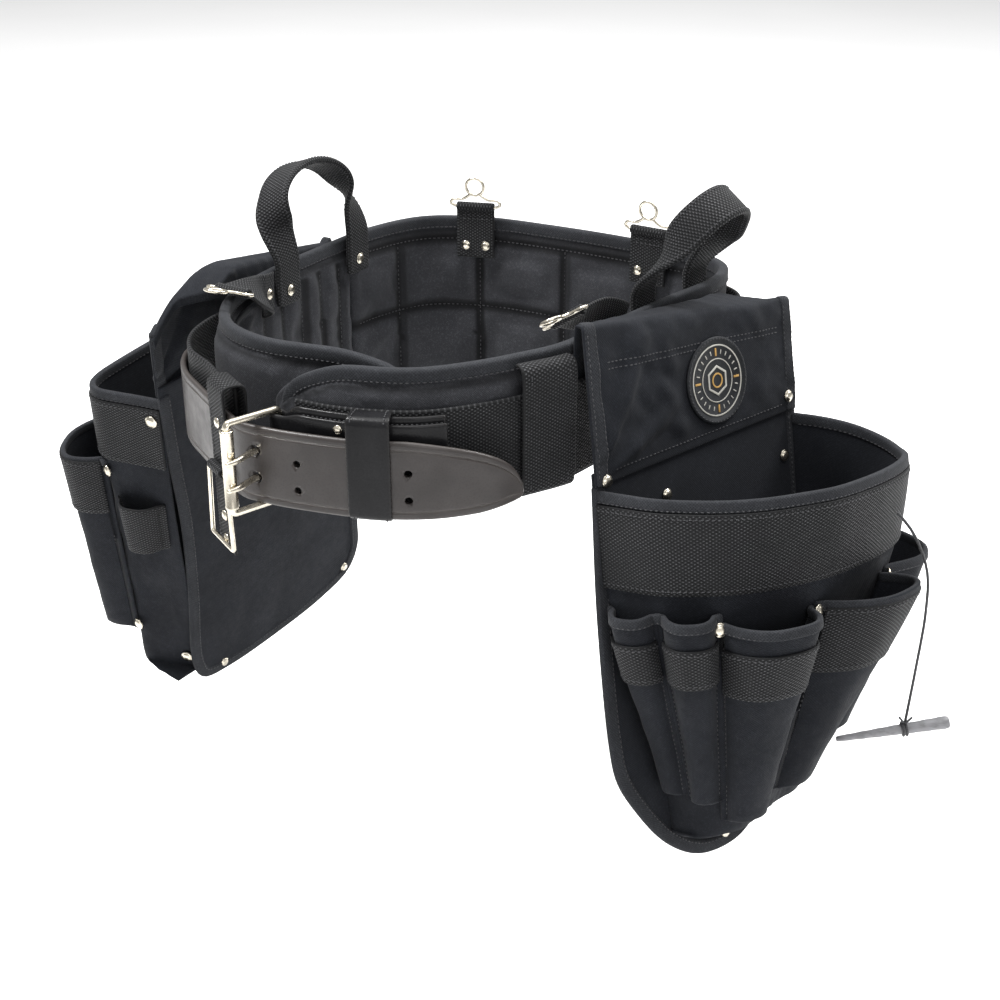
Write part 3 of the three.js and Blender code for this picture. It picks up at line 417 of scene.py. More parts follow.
def with_modifiers(thing):
    """A new mesh of the piece as its modifiers leave it; the modifiers themselves are dropped."""
    mesh = bpy.data.meshes.new_from_object(thing.evaluated_get(bpy.context.evaluated_depsgraph_get()))
    thing.modifiers.clear()
    return mesh


def weld(mesh):
    """Joins points that lie together, drops faces that collapse, and shades the rest smoothly."""
    bm = bmesh.new()
    bm.from_mesh(mesh)
    bmesh.ops.remove_doubles(bm, verts=bm.verts, dist=2e-6)
    bmesh.ops.recalc_face_normals(bm, faces=bm.faces)
    bm.to_mesh(mesh)
    bm.free()
    shade_smooth(mesh)


def grid_normals(points, loop=False):
    """Unit normals of a grid of points, to its front."""
    if loop:
        wide = np.concatenate([points[:, -2:-1], points, points[:, 1:2]], 1)
        along = (wide[:, 2:] - wide[:, :-2]) / 2
    else:
        along = np.gradient(points, axis=1)
    down = np.gradient(points, axis=0)
    return unit(np.cross(along, down))


def finish_piece(thing, body, nodes, blend=None):
    if blend:
        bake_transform(thing)
    else:
        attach(thing, body)
    if nodes:
        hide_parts(*nodes)
    return thing


# ---------- materials ----------
class Look:
    """A procedural material: a Principled shader and the nodes that drive it."""

    def __init__(self, name, roughness, metallic=0.0, **sockets):
        self.material = bpy.data.materials.new(name)
        self.material.use_nodes = True
        self.tree = self.material.node_tree
        self.shader = self.tree.nodes["Principled BSDF"]
        self.shader.inputs["Roughness"].default_value = roughness
        self.shader.inputs["Metallic"].default_value = metallic
        for socket, value in sockets.items():
            self.shader.inputs[socket.replace("_", " ")].default_value = value
        self.normal = None

    def add(self, kind, **values):
        node = self.tree.nodes.new(kind)
        for key, value in values.items():
            if key in node.inputs:
                node.inputs[key].default_value = value
            else:
                setattr(node, key, value)
        return node

    def link(self, source, target):
        if hasattr(source, "is_output"):
            self.tree.links.new(source, target)
        else:
            target.default_value = source

    def math(self, operation, a, b=0.0):
        node = self.add("ShaderNodeMath", operation=operation)
        self.link(a, node.inputs[0])
        self.link(b, node.inputs[1])
        return node.outputs[0]

    def mix(self, factor, a, b):
        node = self.add("ShaderNodeMix", data_type="RGBA")
        self.link(factor, node.inputs["Factor"])
        for value, socket in ((a, node.inputs[6]), (b, node.inputs[7])):
            self.link(value if hasattr(value, "is_output") else (*value, 1), socket)
        return node.outputs[2]

    def range(self, value, low, high, to_low=0.0, to_high=1.0):
        node = self.add("ShaderNodeMapRange")
        self.link(value, node.inputs["Value"])
        for socket, number in zip(("From Min", "From Max", "To Min", "To Max"),
                                  (low, high, to_low, to_high)):
            node.inputs[socket].default_value = number
        return node.outputs["Result"]

    def noise(self, size, detail=3.0, stretch=(1, 1, 1)):
        """Noise whose blotches are about size millimetres across, in the object's own space."""
        place = self.add("ShaderNodeTexCoord")
        scale = self.add("ShaderNodeMapping", Scale=stretch)
        self.link(place.outputs["Object"], scale.inputs["Vector"])
        node = self.add("ShaderNodeTexNoise", Scale=1 / (size * MM), Detail=detail)
        self.link(scale.outputs[0], node.inputs["Vector"])
        return node.outputs["Fac"]

    def cells(self, size):
        place = self.add("ShaderNodeTexCoord")
        node = self.add("ShaderNodeTexVoronoi", Scale=1 / (size * MM))
        self.link(place.outputs["Object"], node.inputs["Vector"])
        return node.outputs["Distance"]

    def weave(self, along, across, slant=0.0):
        """The height of a plain weave, 0 to 1, with threads at these pitches in millimetres."""
        place = self.add("ShaderNodeUVMap", uv_map="cloth")
        parts = self.add("ShaderNodeSeparateXYZ")
        self.link(place.outputs[0], parts.inputs[0])
        u, v = parts.outputs[0], parts.outputs[1]
        if slant:
            u, v = (self.math("ADD", u, self.math("MULTIPLY", v, slant)),
                    self.math("SUBTRACT", v, self.math("MULTIPLY", u, slant)))
        waves = [self.math("SINE", self.math("MULTIPLY", axis, math.pi / (pitch * MM)))
                 for axis, pitch in ((u, along), (v, across))]
        product = self.math("MULTIPLY", *waves)
        return self.math("ADD", self.math("MULTIPLY", product, 0.5), 0.5)

    def bump(self, height, depth, strength=1.0):
        """Raises the surface by depth millimetres where height is 1."""
        node = self.add("ShaderNodeBump", Strength=strength, Distance=depth * MM)
        self.link(height, node.inputs["Height"])
        if self.normal:
            self.link(self.normal, node.inputs["Normal"])
        self.normal = node.outputs[0]

    def edges(self, low, high):
        """1 on worn convex edges, 0 on flats."""
        shape = self.add("ShaderNodeNewGeometry")
        return self.range(shape.outputs["Pointiness"], low, high)

    def done(self, colour, roughness=None):
        self.link(colour, self.shader.inputs["Base Color"])
        if roughness is not None:
            self.link(roughness, self.shader.inputs["Roughness"])
        if self.normal:
            self.link(self.normal, self.shader.inputs["Normal"])
        return self.material


def canvas_look(name, dark, light, thread=0.85, seams=False):
    """Tight dyed canvas: a fine weave, faint lint and a slow change of shade; seams paints shade into
    it, darkening it where the mesh's own "seam" value is high, as painted shade in the quilting grooves."""
    look = Look(name, 0.86, Sheen_Weight=0.035, Sheen_Roughness=0.45, Specular_IOR_Level=0.14)
    weave = look.weave(thread, thread)
    lint = look.range(look.noise(1.3, 4), 0.5, 0.78)
    shade = look.noise(38, 2)
    colour = look.mix(weave, dark, light)
    colour = look.mix(look.math("MULTIPLY", lint, 0.35), colour, [c * 2.6 for c in light])
    colour = look.mix(look.range(shade, 0.3, 0.7, 0, 0.4), colour, [c * 0.55 for c in dark])
    if seams:
        # painted shade: the quilted cloth darkened near its seams, where the grooves fall into shade
        sewn = look.add("ShaderNodeAttribute", attribute_name="seam").outputs["Fac"]
        colour = look.mix(look.math("MULTIPLY", sewn, 0.92), colour, [c * 0.2 for c in dark])
    look.bump(shade, 0.7, 0.5)
    look.bump(weave, 0.16, 0.9)
    return look.done(colour, look.range(look.noise(6, 3), 0.3, 0.7, 0.78, 0.92))


def webbing_look(name, dark, light, pitch=WEAVE):
    """Coarse basket-woven webbing, with grey glints painted on its threads' crowns: a painted highlight,
    brighter in some patches than others.
    """
    look = Look(name, 0.7, Sheen_Weight=0.02, Sheen_Roughness=0.4, Specular_IOR_Level=0.22)
    weave = look.weave(pitch, pitch * 0.62)
    fibre = look.noise(0.45, 3)
    # painted highlight: grey glints on the weave's crowns, varied in patches across the webbing
    crown_glints = look.math("MULTIPLY", look.range(weave, 0.7, 1.0), look.range(fibre, 0.35, 0.65, 0.25, 1))
    glint_patches = look.range(look.noise(14, 3), 0.3, 0.7, 0.45, 1)
    colour = look.mix(look.math("MULTIPLY", crown_glints, glint_patches), dark, light)
    look.bump(weave, 0.55, 1.0)
    look.bump(fibre, 0.08, 0.6)
    return look.done(colour, look.range(weave, 0, 1, 0.86, 0.52))


def leather_look(name, dark, light, edge, gloss, shine, grain=1.6):
    """Dressed leather with pores, a soft mottle and paler worn edges."""
    look = Look(name, gloss, Coat_Weight=shine / 3, Coat_Roughness=0.2, Specular_IOR_Level=shine)
    mottle = look.noise(22, 4)
    pores = look.cells(grain)
    fine = look.noise(0.7, 3)
    colour = look.mix(look.range(mottle, 0.3, 0.7), dark, light)
    colour = look.mix(look.range(pores, 0.1, 0.5, 0.35, 0), colour, [c * 0.5 for c in dark])
    colour = look.mix(look.math("MULTIPLY", look.edges(0.52, 0.6), 0.7), colour, edge)
    look.bump(pores, 0.1, 0.55)
    look.bump(fine, 0.05, 0.5)
    return look.done(colour, look.range(look.noise(9, 4), 0.3, 0.7, gloss - 0.07, gloss + 0.09))


def nickel_look():
    """Nickel plate with a warm tint, faint smears and hair scratches."""
    look = Look("nickel_plate", 0.24, 1.0)
    smear = look.noise(7, 4)
    scratch = look.noise(1.2, 2, (1, 1, 9))
    colour = look.mix(look.range(smear, 0.35, 0.7), (0.66, 0.61, 0.51), (0.50, 0.46, 0.38))
    marks = look.math("MULTIPLY", look.range(scratch, 0.6, 0.75), 0.4)
    colour = look.mix(marks, colour, (0.4, 0.38, 0.34))
    look.bump(scratch, 0.02, 0.4)
    return look.done(colour, look.range(smear, 0.3, 0.7, 0.16, 0.36))


def thread_look():
    look = Look("sewing_thread", 0.55, Specular_IOR_Level=0.3)
    twist = look.noise(0.6, 2)
    look.bump(twist, 0.1, 0.7)
    return look.done(look.mix(twist, (0.014, 0.014, 0.015), (0.055, 0.055, 0.06)))


def rubber_look(name, dark, light):
    look = Look(name, 0.55, Specular_IOR_Level=0.25)
    grain = look.noise(0.8, 4)
    look.bump(grain, 0.06, 0.6)
    return look.done(look.mix(look.range(look.noise(5, 3), 0.3, 0.7), dark, light),
                     look.range(grain, 0.3, 0.7, 0.45, 0.68))


def cord_look():
    look = Look("braided_cord", 0.7, Sheen_Weight=0.2)
    braid = look.weave(0.9, 0.9, 0.6)
    look.bump(braid, 0.25)
    return look.done(look.mix(braid, (0.008, 0.008, 0.009), (0.045, 0.045, 0.05)))


def plastic_look():
    """Grey moulded plastic with a fine spark grain and handling marks."""
    look = Look("moulded_plastic", 0.45, Specular_IOR_Level=0.5)
    grain = look.noise(0.9, 4)
    marks = look.range(look.noise(6, 4, (1, 1, 3)), 0.45, 0.7)
    look.bump(grain, 0.05, 0.6)
    return look.done(look.mix(marks, (0.20, 0.20, 0.21), (0.125, 0.125, 0.13)),
                     look.range(grain, 0.3, 0.7, 0.38, 0.56))


CANVAS = canvas_look("black_canvas", (0.0058, 0.0066, 0.0088), (0.0135, 0.0150, 0.0190))
# QUILT's True paints shade into its quilting grooves
QUILT = canvas_look("quilted_nylon", (0.0150, 0.0155, 0.0180), (0.0400, 0.0410, 0.0460), 0.7, True)
TAPE_CLOTH = canvas_look("binding_tape", (0.0110, 0.0118, 0.0140), (0.0300, 0.0315, 0.0355), 1.0)
# the second colour is the grey of the painted highlight on the weave's crowns
WEBBING = webbing_look("basket_webbing", (0.0036, 0.0038, 0.0044), (0.115, 0.118, 0.124))
BROWN_LEATHER = leather_look("billet_leather", (0.020, 0.0165, 0.0155), (0.031, 0.026, 0.0245),
                             (0.060, 0.053, 0.049), 0.4, 0.3)
BLACK_LEATHER = leather_look("strap_leather", (0.0065, 0.0065, 0.0072), (0.012, 0.012, 0.013),
                             (0.020, 0.019, 0.0185), 0.26, 0.12, 1.2)
NICKEL = nickel_look()
THREAD = thread_look()
PATCH = rubber_look("patch_rubber", (0.008, 0.009, 0.011), (0.014, 0.0155, 0.018))
PATCH_PALE = rubber_look("patch_pale_print", (0.34, 0.33, 0.30), (0.44, 0.43, 0.39))
PATCH_OCHRE = rubber_look("patch_ochre_print", (0.38, 0.22, 0.06), (0.46, 0.28, 0.09))
CORD = cord_look()
PLASTIC = plastic_look()


# ---------- padded lumbar belt ----------
BACK_LEFT = pad_line.nearest(-152, 62)
BACK_RIGHT = pad_line.nearest(124, 84)
PAD_END = pad_line.length


TAPER_IN, TAPER_LENGTH = 70, 150      # the pad's lower edge rises from inside the back to the wings
END_ROUND = 30                        # length of the rounding at the pad's right end


def pad_bottom(s):
    """The pad's lower edge: low at the back, rising to the wings, rounded at its right end."""
    rise = PAD_BOTTOM_FRONT - PAD_BOTTOM_BACK
    left = smooth((BACK_LEFT + TAPER_IN - s) / TAPER_LENGTH)
    right = smooth((s - BACK_RIGHT + TAPER_IN) / TAPER_LENGTH)
    end = END_ROUND * (1 - np.sqrt(np.clip((PAD_END - s) / END_ROUND, 0, 1))) ** 2
    return PAD_BOTTOM_BACK + rise * np.maximum(left, right) + end * 0.6


def pad_top(s):
    """The pad's upper edge, level but for its rounded ends."""
    left = np.clip(s / 45, 0, 1)
    right = np.clip((PAD_END - s + 1.5) / 50, 0, 1)
    return PAD_TOP - 14 * (1 - np.sqrt(left)) - 36 * (1 - np.sqrt(right))


PAD_CELL = 5.6         # size of the pad's mesh squares before it is puffed up
SEAM_HALF = 1.4        # half the pad's thickness where it is sewn through
FREE_HALF = 5.0        # half its thickness between the seams before it is puffed up
PUFF_LIMIT = 3.5       # how far the cloth may swell
PUFF_FRAMES = 20       # steps of the cloth simulation
SEAM_REACH = 8         # how far from a seam the pad is drawn in
BOUND = 9              # the width of the pad's edge that its binding keeps flat


def seam_distances(s, z, low, high, seams, level):
    """How far each point of the pad lies from its nearest seam or edge."""
    near = np.minimum(z - low, high - z) - BOUND
    near = np.minimum(near, np.abs(high - BORDER - z) if level is not None else near)
    for seam in seams:
        near = np.minimum(near, np.where(z < high - BORDER + 1, np.abs(s - seam), 99))
    if level is not None:
        near = np.minimum(near, np.abs(z - level))
    return np.clip(near, 0, None)


def between(stops):
    """Values from the first stop to the last that include every stop, about a mesh square apart."""
    parts = [np.linspace(a, b, max(round((b - a) / PAD_CELL), 2), endpoint=False)
             for a, b in zip(stops, stops[1:])]
    return np.append(np.concatenate(parts), stops[-1])


def pad_section(name, start, end, seams, level):
    """One sewn section of the pad: two faces and a rim, drawn in at its seams."""
    s = between([start, *[seam for seam in seams if start < seam < end], end])
    low, high = pad_bottom(s), pad_top(s)
    border = high - BORDER
    if level is None:
        stops = [(low, border, 22)]
    else:
        stops = [(low, level + 0 * s, 14), (level + 0 * s, border, 9)]
    rows = [a + (b - a) * t for a, b, count in stops for t in np.arange(count) / count]
    z = np.array(rows + [border + (high - border) * t for t in np.linspace(0, 1, 5)])
    wide = np.broadcast_to(s, z.shape)
    near = seam_distances(wide, z, low, high, seams, level)
    near = np.minimum(near, np.minimum(wide - start, end - wide))
    rise = np.sin(np.clip(near / SEAM_REACH, 0, 1) * math.pi / 2)
    half = SEAM_HALF + (FREE_HALF - SEAM_HALF) * rise
    faces = [pad_line.at(wide, sign * half, z) for sign in (1, -1)]
    piece = Piece(QUILT)
    flat = np.stack([wide, z], -1)
    piece.grid(faces[0], flat)
    piece.grid(faces[1][::-1], flat[::-1])
    for line in ((slice(None), 0), (slice(None), -1), (0, slice(None)), (-1, slice(None))):
        piece.grid(np.stack([faces[0][line], faces[1][line]]), np.stack([flat[line], flat[line]]))
    mesh_object = piece.object(name)
    held = mesh_object.vertex_groups.new(name="sewn")
    points = mesh_points(mesh_object.data) / MM
    at = nearest_stations(points)
    distance = seam_distances(at, points[:, 2], pad_bottom(at), pad_top(at), seams, level)
    distance = np.minimum(distance, np.minimum(at - start, end - at))
    for index in np.nonzero(distance < PAD_CELL * 0.55)[0]:
        held.add([int(index)], 1.0, "REPLACE")
    return mesh_object


def nearest_stations(points):
    """The pad's arc length nearest to each point, in plan."""
    line = pad_line.points
    gaps = np.hypot(points[:, None, 0] - line[None, :, 0], points[:, None, 1] - line[None, :, 1])
    return pad_line.s[np.argmin(gaps, 1)]


def puff_up(things):
    """Swells sewn covers with pressure, their seams held, and keeps the result as plain meshes."""
    before = [mesh_points(thing.data) for thing in things]
    scene = bpy.context.scene
    for thing in things:
        cloth = thing.modifiers.new("cloth", "CLOTH")
        cloth.point_cache.frame_end = PUFF_FRAMES
        settings = cloth.settings
        settings.quality = 5
        settings.mass = 0.15
        settings.use_pressure = True
        settings.uniform_pressure_force = 4
        settings.shrink_min = -0.05
        settings.vertex_group_mass = "sewn"
        settings.effector_weights.gravity = 0
        cloth.collision_settings.use_collision = False
    for step in range(1, PUFF_FRAMES + 1):
        scene.frame_set(step)
    for thing, rest in zip(things, before):
        moved = with_modifiers(thing)
        change = mesh_points(moved) - rest
        size = np.linalg.norm(change, axis=1, keepdims=True)
        change *= np.minimum(1, PUFF_LIMIT * MM / np.maximum(size, 1e-9))
        thing.data.vertices.foreach_set("co", (rest + change).ravel().astype(np.float32))
        bpy.data.meshes.remove(moved)
        refine(thing)
    scene.frame_set(1)


def refine(thing):
    """One smooth subdivision, kept in the mesh."""
    thing.vertex_groups.clear()
    thing.modifiers.new("fine", "SUBSURF").levels = 1
    thing.data = with_modifiers(thing)
    shade_smooth(thing.data)


def add_pad():
    sections = [
        ("wing_left", 0, BACK_LEFT - 0.4, LEFT_CHANNELS, None),
        ("lumbar_panel", BACK_LEFT, BACK_RIGHT, QUILT_SEAMS, QUILT_LEVEL),
        ("wing_right", BACK_RIGHT + 0.4, PAD_END, RIGHT_CHANNELS, None),
    ]
    things = [pad_section(f"{name}_quilt", *rest) for name, *rest in sections]
    puff_up(things)
    for thing, (name, _, _, seams, level) in zip(things, sections):
        store_seam_shade(thing, seams, level)
        finish_piece(thing, "belt", [name])


def store_seam_shade(thing, seams, level):
    """Stores how near each point is to a quilting seam, from 0 to 1, for the painted shade that darkens
    the cloth in its grooves.
    """
    points = mesh_points(thing.data) / MM
    at = nearest_stations(points)
    low, high = pad_bottom(at), pad_top(at)
    distance = seam_distances(at, points[:, 2], low, high, seams, level)
    inside = smooth((np.minimum(points[:, 2] - low, high - points[:, 2]) - BOUND) / 3)
    value = inside * (1 - smooth((distance - 1.5) / 5.5))
    layer = thing.data.attributes.new("seam", "FLOAT", "POINT")
    layer.data.foreach_set("value", value.astype(np.float32))


def rim_path(inset, step=6):
    """The pad's whole edge as (station, height), drawn in by inset, with round corners."""
    s = np.arange(inset + 1, PAD_END - inset - 1, step)
    top = np.stack([s, pad_top(s) - inset], -1)
    bottom = np.stack([s, pad_bottom(s) + inset], -1)[::-1]
    joins = [(a * 0.5 + b * 0.5) for a, b in ((top[-1:], bottom[:1]), (bottom[-1:], top[:1]))]
    loop = np.vstack([top, joins[0], bottom, joins[1], top[:1]])
    even = resample(loop, int(lengths_of(loop)[-1] / step))[:-1]
    for _ in range(3):
        even = (np.roll(even, 1, 0) + 2 * even + np.roll(even, -1, 0)) / 4
    return even


def add_pad_binding():
    """Tape folded over the pad's whole edge, sewn through on both faces."""
    piece = Piece(TAPE_CLOTH, THREAD)
    path = rim_path(4.4)
    points = pad_line.at(path[:, 0], 0, path[:, 1])
    across = pad_line.out(path[:, 0])
    piece.tube(points, across, rounded_box(7.4, TAPE, 2.6), closed=True)
    sewn = rim_path(7.6)
    sewn = np.vstack([sewn, sewn[:1]])
    for face in (1, -1):
        outward = pad_line.out(sewn[:, 0]) * face
        piece.stitches(pad_line.at(sewn[:, 0], face * 3.75, sewn[:, 1]), outward)
    piece.make("pad_binding", "belt", slot="canvas")
    # A second line of piping runs along the left wing's top edge, as the two layers end there.
    inner = Piece(TAPE_CLOTH, THREAD)
    s = np.arange(6, 250, 6.0)
    z = pad_top(s) - 15
    inner.tube(pad_line.at(s, -5.4, z), pad_line.out(s), rounded_box(2.6, 4.4, 1.2))
    inner.make("wing_left_piping", "belt", slot="canvas")


def add_quilt_stitches():
    """Thread along the sewn channels of both faces of the pad."""
    piece = Piece(THREAD)
    for seams in (QUILT_SEAMS, LEFT_CHANNELS, RIGHT_CHANNELS):
        for s in seams:
            z = np.linspace(float(pad_bottom(s)) + 10, float(pad_top(s)) - BORDER, 30)
            for face in (1, -1):
                outward = np.broadcast_to(pad_line.out(s) * face, (30, 3))
                piece.stitches(pad_line.at(s, face * (SEAM_HALF + 1.1), z), outward, 0)
    s = np.linspace(BACK_LEFT + 8, BACK_RIGHT - 8, 130)
    for z in (np.full_like(s, QUILT_LEVEL), pad_top(s) - BORDER):
        for face in (1, -1):
            outward = pad_line.out(s) * face
            piece.stitches(pad_line.at(s, face * (SEAM_HALF + 1.1), z), outward, 0)
    piece.make("pad_quilt_stitches", "belt", slot="canvas")


# ---------- belt webbing, leather and buckle ----------
def add_webbing():
    """The belt's own webbing, waved a little as soft webbing is."""
    piece = Piece(WEBBING, THREAD)
    s = np.linspace(0, web_line.length, int(web_line.length / 6))
    points = web_line.at(s[None, :], 0, np.linspace(WEB_LOW, WEB_HIGH, 12)[:, None])
    points[..., :2] *= (1 + 0.0012 * rumple(points, 45, 3.1))[..., None]
    piece.sheet(points, WEB_THICK)
    piece.make("belt_webbing_strap", "belt", "belt_webbing", slot="webbing")


def add_webbing_loop():
    """The upright loop that the webbing runs through, sewn to the pad above and below it."""
    piece = Piece(WEBBING, THREAD)
    middle = pad_line.nearest(90, -79)
    profile = [(7.6, 68), (11, 68.2), (14.6, 66.4), (15.9, 62), (15.8, 25), (15.8, -12),
               (14.6, -16.8), (11, -18), (7.6, -17.9)]
    profile = resample(spline(profile, 8), 46)
    s = np.linspace(middle - 17.6, middle + 17.6, 9)
    points = pad_line.at(s[None, :], profile[:, :1], profile[:, 1:])
    bow = 0.5 * rumple(points, 22, 8.4)[..., None] * pad_line.out(s)[None]
    piece.sheet((points + bow)[::-1], 2.2)
    for side in (-1, 1):
        for z in (60, -10):
            line = pad_line.at(middle + side * 13, 17.1, z + np.linspace(-4, 4, 6))
            piece.stitches(line, pad_line.out(middle))
    piece.make("webbing_loop_strap", "belt", "webbing_loop", slot="webbing")


BILLET_END = billet_line.length


def billet_top(s):
    left = np.clip(BILLET_END - s, 0, 78)
    return 34 - 42 * (1 - np.sqrt(left / 78)) ** 1.35


def billet_bottom(s):
    left = np.clip(BILLET_END - s, 0, 30)
    return -15 + 4 * (1 - np.sqrt(left / 30))


def prong_direction():
    return unit(vec(ROLLER[0] - BAR[0], ROLLER[1] - BAR[1], 0))


def boolean_cut(thing, cutters):
    """Cuts solids out of a piece, shades it smoothly and removes the solids."""
    for cutter in cutters:
        cut = thing.modifiers.new("cut", "BOOLEAN")
        cut.object = cutter
        cut.solver = "EXACT"
    thing.data = with_modifiers(thing)
    shade_smooth(thing.data)
    for cutter in cutters:
        bpy.data.objects.remove(cutter)


def punched_holes():
    """Rods through the billet: two where the prongs pass, and the spare pairs beside them."""
    rods = []
    for height in PRONG_HEIGHTS:
        start = vec(*BAR, height) + prong_direction() * 5
        ends = [(start, start + prong_direction() * 24, PRONG_HOLE)]
        for x, y in ((-14, -188), (48, -165)):
            s = billet_line.nearest(x, y)
            ends.append((*(billet_line.at(s, side, height - 4) for side in (-7, 7)), SPARE_HOLE))
        for a, b, radius in ends:
            rod = Piece(BROWN_LEATHER)
            rod.tube(np.linspace(a, b, 3), vec(0, 0, 1), circle(radius, 20))
            rods.append(rod.object("hole"))
    return rods


def add_billet():
    """Thick leather with a creased line inside its edge and a round tip."""
    piece = Piece(BROWN_LEATHER, THREAD)
    tip = BILLET_END - 14 * np.linspace(1, 0, 12) ** 2
    s = np.concatenate([np.arange(0, BILLET_END - 14, 3.2), tip])
    low, high = billet_bottom(s), billet_top(s)
    inset = np.array([1.2, 2.4, 3.2, 3.7, 4.2, 5.0, 8.0])
    crease = np.array([0, 0, 0.05, 0.42, 0.05, 0, 0])
    t = np.linspace(0, 1, 9)[1:-1]
    width = high - low
    fade = np.clip(width / 22, 0.15, 1)
    rows = [low + 0.3, *(low + d * fade for d in inset),
            *(low + 8 * fade + (width - 16 * fade) * k for k in t),
            *(high - d * fade for d in inset[::-1]), high - 0.3]
    depth = np.concatenate([[0], crease, np.zeros(len(t)), crease[::-1], [0]])
    points = billet_line.at(s[None, :], -depth[:, None], np.array(rows))
    piece.sheet(points[::-1], BILLET_THICK)
    thing = piece.object("leather_billet_hide")
    boolean_cut(thing, punched_holes())
    finish_piece(thing, "belt", ["leather_billet"])


def strap_line():
    """The buckle strap's plan: behind the front, round the buckle's bar and back."""
    start, end = front_line.nearest(50, -135), front_line.nearest(-26, -162.5)
    s = np.linspace(start, end, 7)
    back = front_line.at(s, STRAP_BACK)[:, :2]
    face = front_line.at(s, STRAP_FACE)[:, :2]
    a = math.pi / 2 + np.linspace(0, 1, 9) * math.pi
    turn = np.array(BAR) + 4.3 * np.stack([np.cos(a), np.sin(a)], -1)
    return PlanLine(np.vstack([back, turn, face[::-1]]))


def add_buckle_strap():
    """A leather strap folded round the buckle's bar, slotted for the prongs and sewn together."""
    line = strap_line()
    s = np.linspace(0, line.length, 112)
    near_bar = 1 - smooth((np.abs(s - line.length / 2) - 12) / 14)
    full = np.where(s < line.length / 2, *STRAP_HIGH)
    top = full + (STRAP_AT_BAR - full) * near_bar
    v = np.concatenate([[0, 0.02, 0.05], np.linspace(0.1, 0.9, 7), [0.95, 0.98, 1]])[:, None]
    points = line.at(s[None, :], 0, STRAP_LOW + (top - STRAP_LOW) * v)
    piece = Piece(BLACK_LEATHER, THREAD)
    piece.sheet(points, STRAP_THICK)
    thing = piece.object("buckle_strap_hide")
    slots = []
    for height in PRONG_HEIGHTS:
        slot = Piece(BLACK_LEATHER)
        middle = vec(BAR[0] - 4.5, BAR[1] - 5, height)
        slot.tube(np.array([middle + vec(0, -12, 0), middle, middle + vec(0, 12, 0)]), vec(1, 0, 0),
                  rounded_box(22, 7.4, 3))
        slots.append(slot.object("slot"))
    boolean_cut(thing, slots)
    finish_piece(thing, "belt", ["buckle_strap"])
    seams = Piece(THREAD)
    for height in (top - 3.2, STRAP_LOW + 3.2 + 0 * s):
        for half in (slice(0, 44), slice(68, 112)):
            path = line.at(s[half], 1.45, height[half])
            seams.stitches(path, line.out(s[half]), 0, LEATHER_PITCH)
    seams.make("buckle_strap_stitches", "belt", slot="black_leather")


def add_keeper():
    """A sewn leather loop round the strap and the billet."""
    middle = front_line.nearest(21, -154)
    box = rounded_box(16.2, 66.6, 4.5, 5) + vec(*KEEPER_AT)
    s = middle + np.concatenate([[-10.2, -9.6, -8.4], np.linspace(-6, 6, 5), [8.4, 9.6, 10.2]])
    points = front_line.at(s[:, None], box[None, :, 0], box[None, :, 1])
    piece = Piece(BLACK_LEATHER, THREAD)
    piece.sheet(points, 2.0, loop=True)
    for row in (2, -3):
        path = np.vstack([points[row], points[row, :1]])
        outward = unit(path - front_line.at(s[row], *KEEPER_AT))
        piece.stitches(path + outward * 1.35, outward, pitch=LEATHER_PITCH)
    piece.make("leather_keeper_loop", "keeper", "leather_keeper", slot="black_leather")


def arc_corners(corners, radius, steps=6):
    """A closed path through corners with each corner rounded."""
    out = []
    for i, here in enumerate(corners):
        before, after = corners[i - 1], corners[(i + 1) % len(corners)]
        a = here + unit(before - here) * radius
        b = here + unit(after - here) * radius
        for t in np.linspace(0, 1, steps):
            out.append((1 - t) ** 2 * a + 2 * t * (1 - t) * here + t * t * b)
    return np.array(out)


def add_buckle():
    """The wire frame, the roller on its outer bar and the two prongs on its inner one."""
    ends = [(BAR, BUCKLE_LOW), (BAR, BUCKLE_HIGH), (ROLLER, BUCKLE_HIGH), (ROLLER, BUCKLE_LOW)]
    path = arc_corners([vec(*p, z) for p, z in ends], 3.2)
    side = unit(np.cross(prong_direction(), vec(0, 0, 1)))
    frame_wire = Piece(NICKEL)
    frame_wire.tube(path, side, circle(BUCKLE_WIRE, 16), closed=True)
    frame_wire.make("buckle_frame_wire", "belt", "buckle_frame", slot="nickel")

    low, high = BUCKLE_LOW + 4, BUCKLE_HIGH - 4
    roller = Piece(NICKEL)
    bore = BUCKLE_WIRE + 0.5
    rim = [(4.0, 0), (4.3, 0.5), (4.3, 1.4), (4.1, 1.7)]
    profile = [(bore, low), *((r, low + d) for r, d in rim), *((r, high - d) for r, d in rim[::-1]),
               (bore, high), (bore, low)]
    roller.turned(profile, vec(*ROLLER, 0), vec(0, 0, 1), sides=28)
    roller.make("buckle_roller_tube", "roller", "buckle_roller", slot="nickel")

    direction = prong_direction()
    lift = vec(-direction[1], direction[0], 0)
    lift = lift if lift[1] < 0 else -lift
    for label, height in zip(("upper", "lower"), PRONG_HEIGHTS):
        prong = Piece(NICKEL)
        eye = [(bore, -2.5), (5.1, -2.5), (5.5, -2.1), (5.5, 2.1), (5.1, 2.5), (bore, 2.5), (bore, -2.5)]
        prong.turned(eye, vec(*BAR, height), vec(0, 0, 1))
        root = vec(*BAR, height)
        over = vec(*ROLLER, height) + lift * 6.9
        stops = [root + direction * 4.6, root + direction * 12 + lift * 0.4,
                 root + direction * 22 + lift * 1.4, over, over + direction * 5]
        stops = resample(spline(stops, 8), 24)
        taper = 1 - 0.3 * smooth((np.linspace(0, 1, 24) - 0.72) / 0.28)
        prong.tube(stops, vec(0, 0, 1), circle(2.1, 14), shrink=taper)
        node = f"buckle_prong_{label}"
        prong.make(f"{node}_wire", f"prong_{label}", node, slot="nickel")


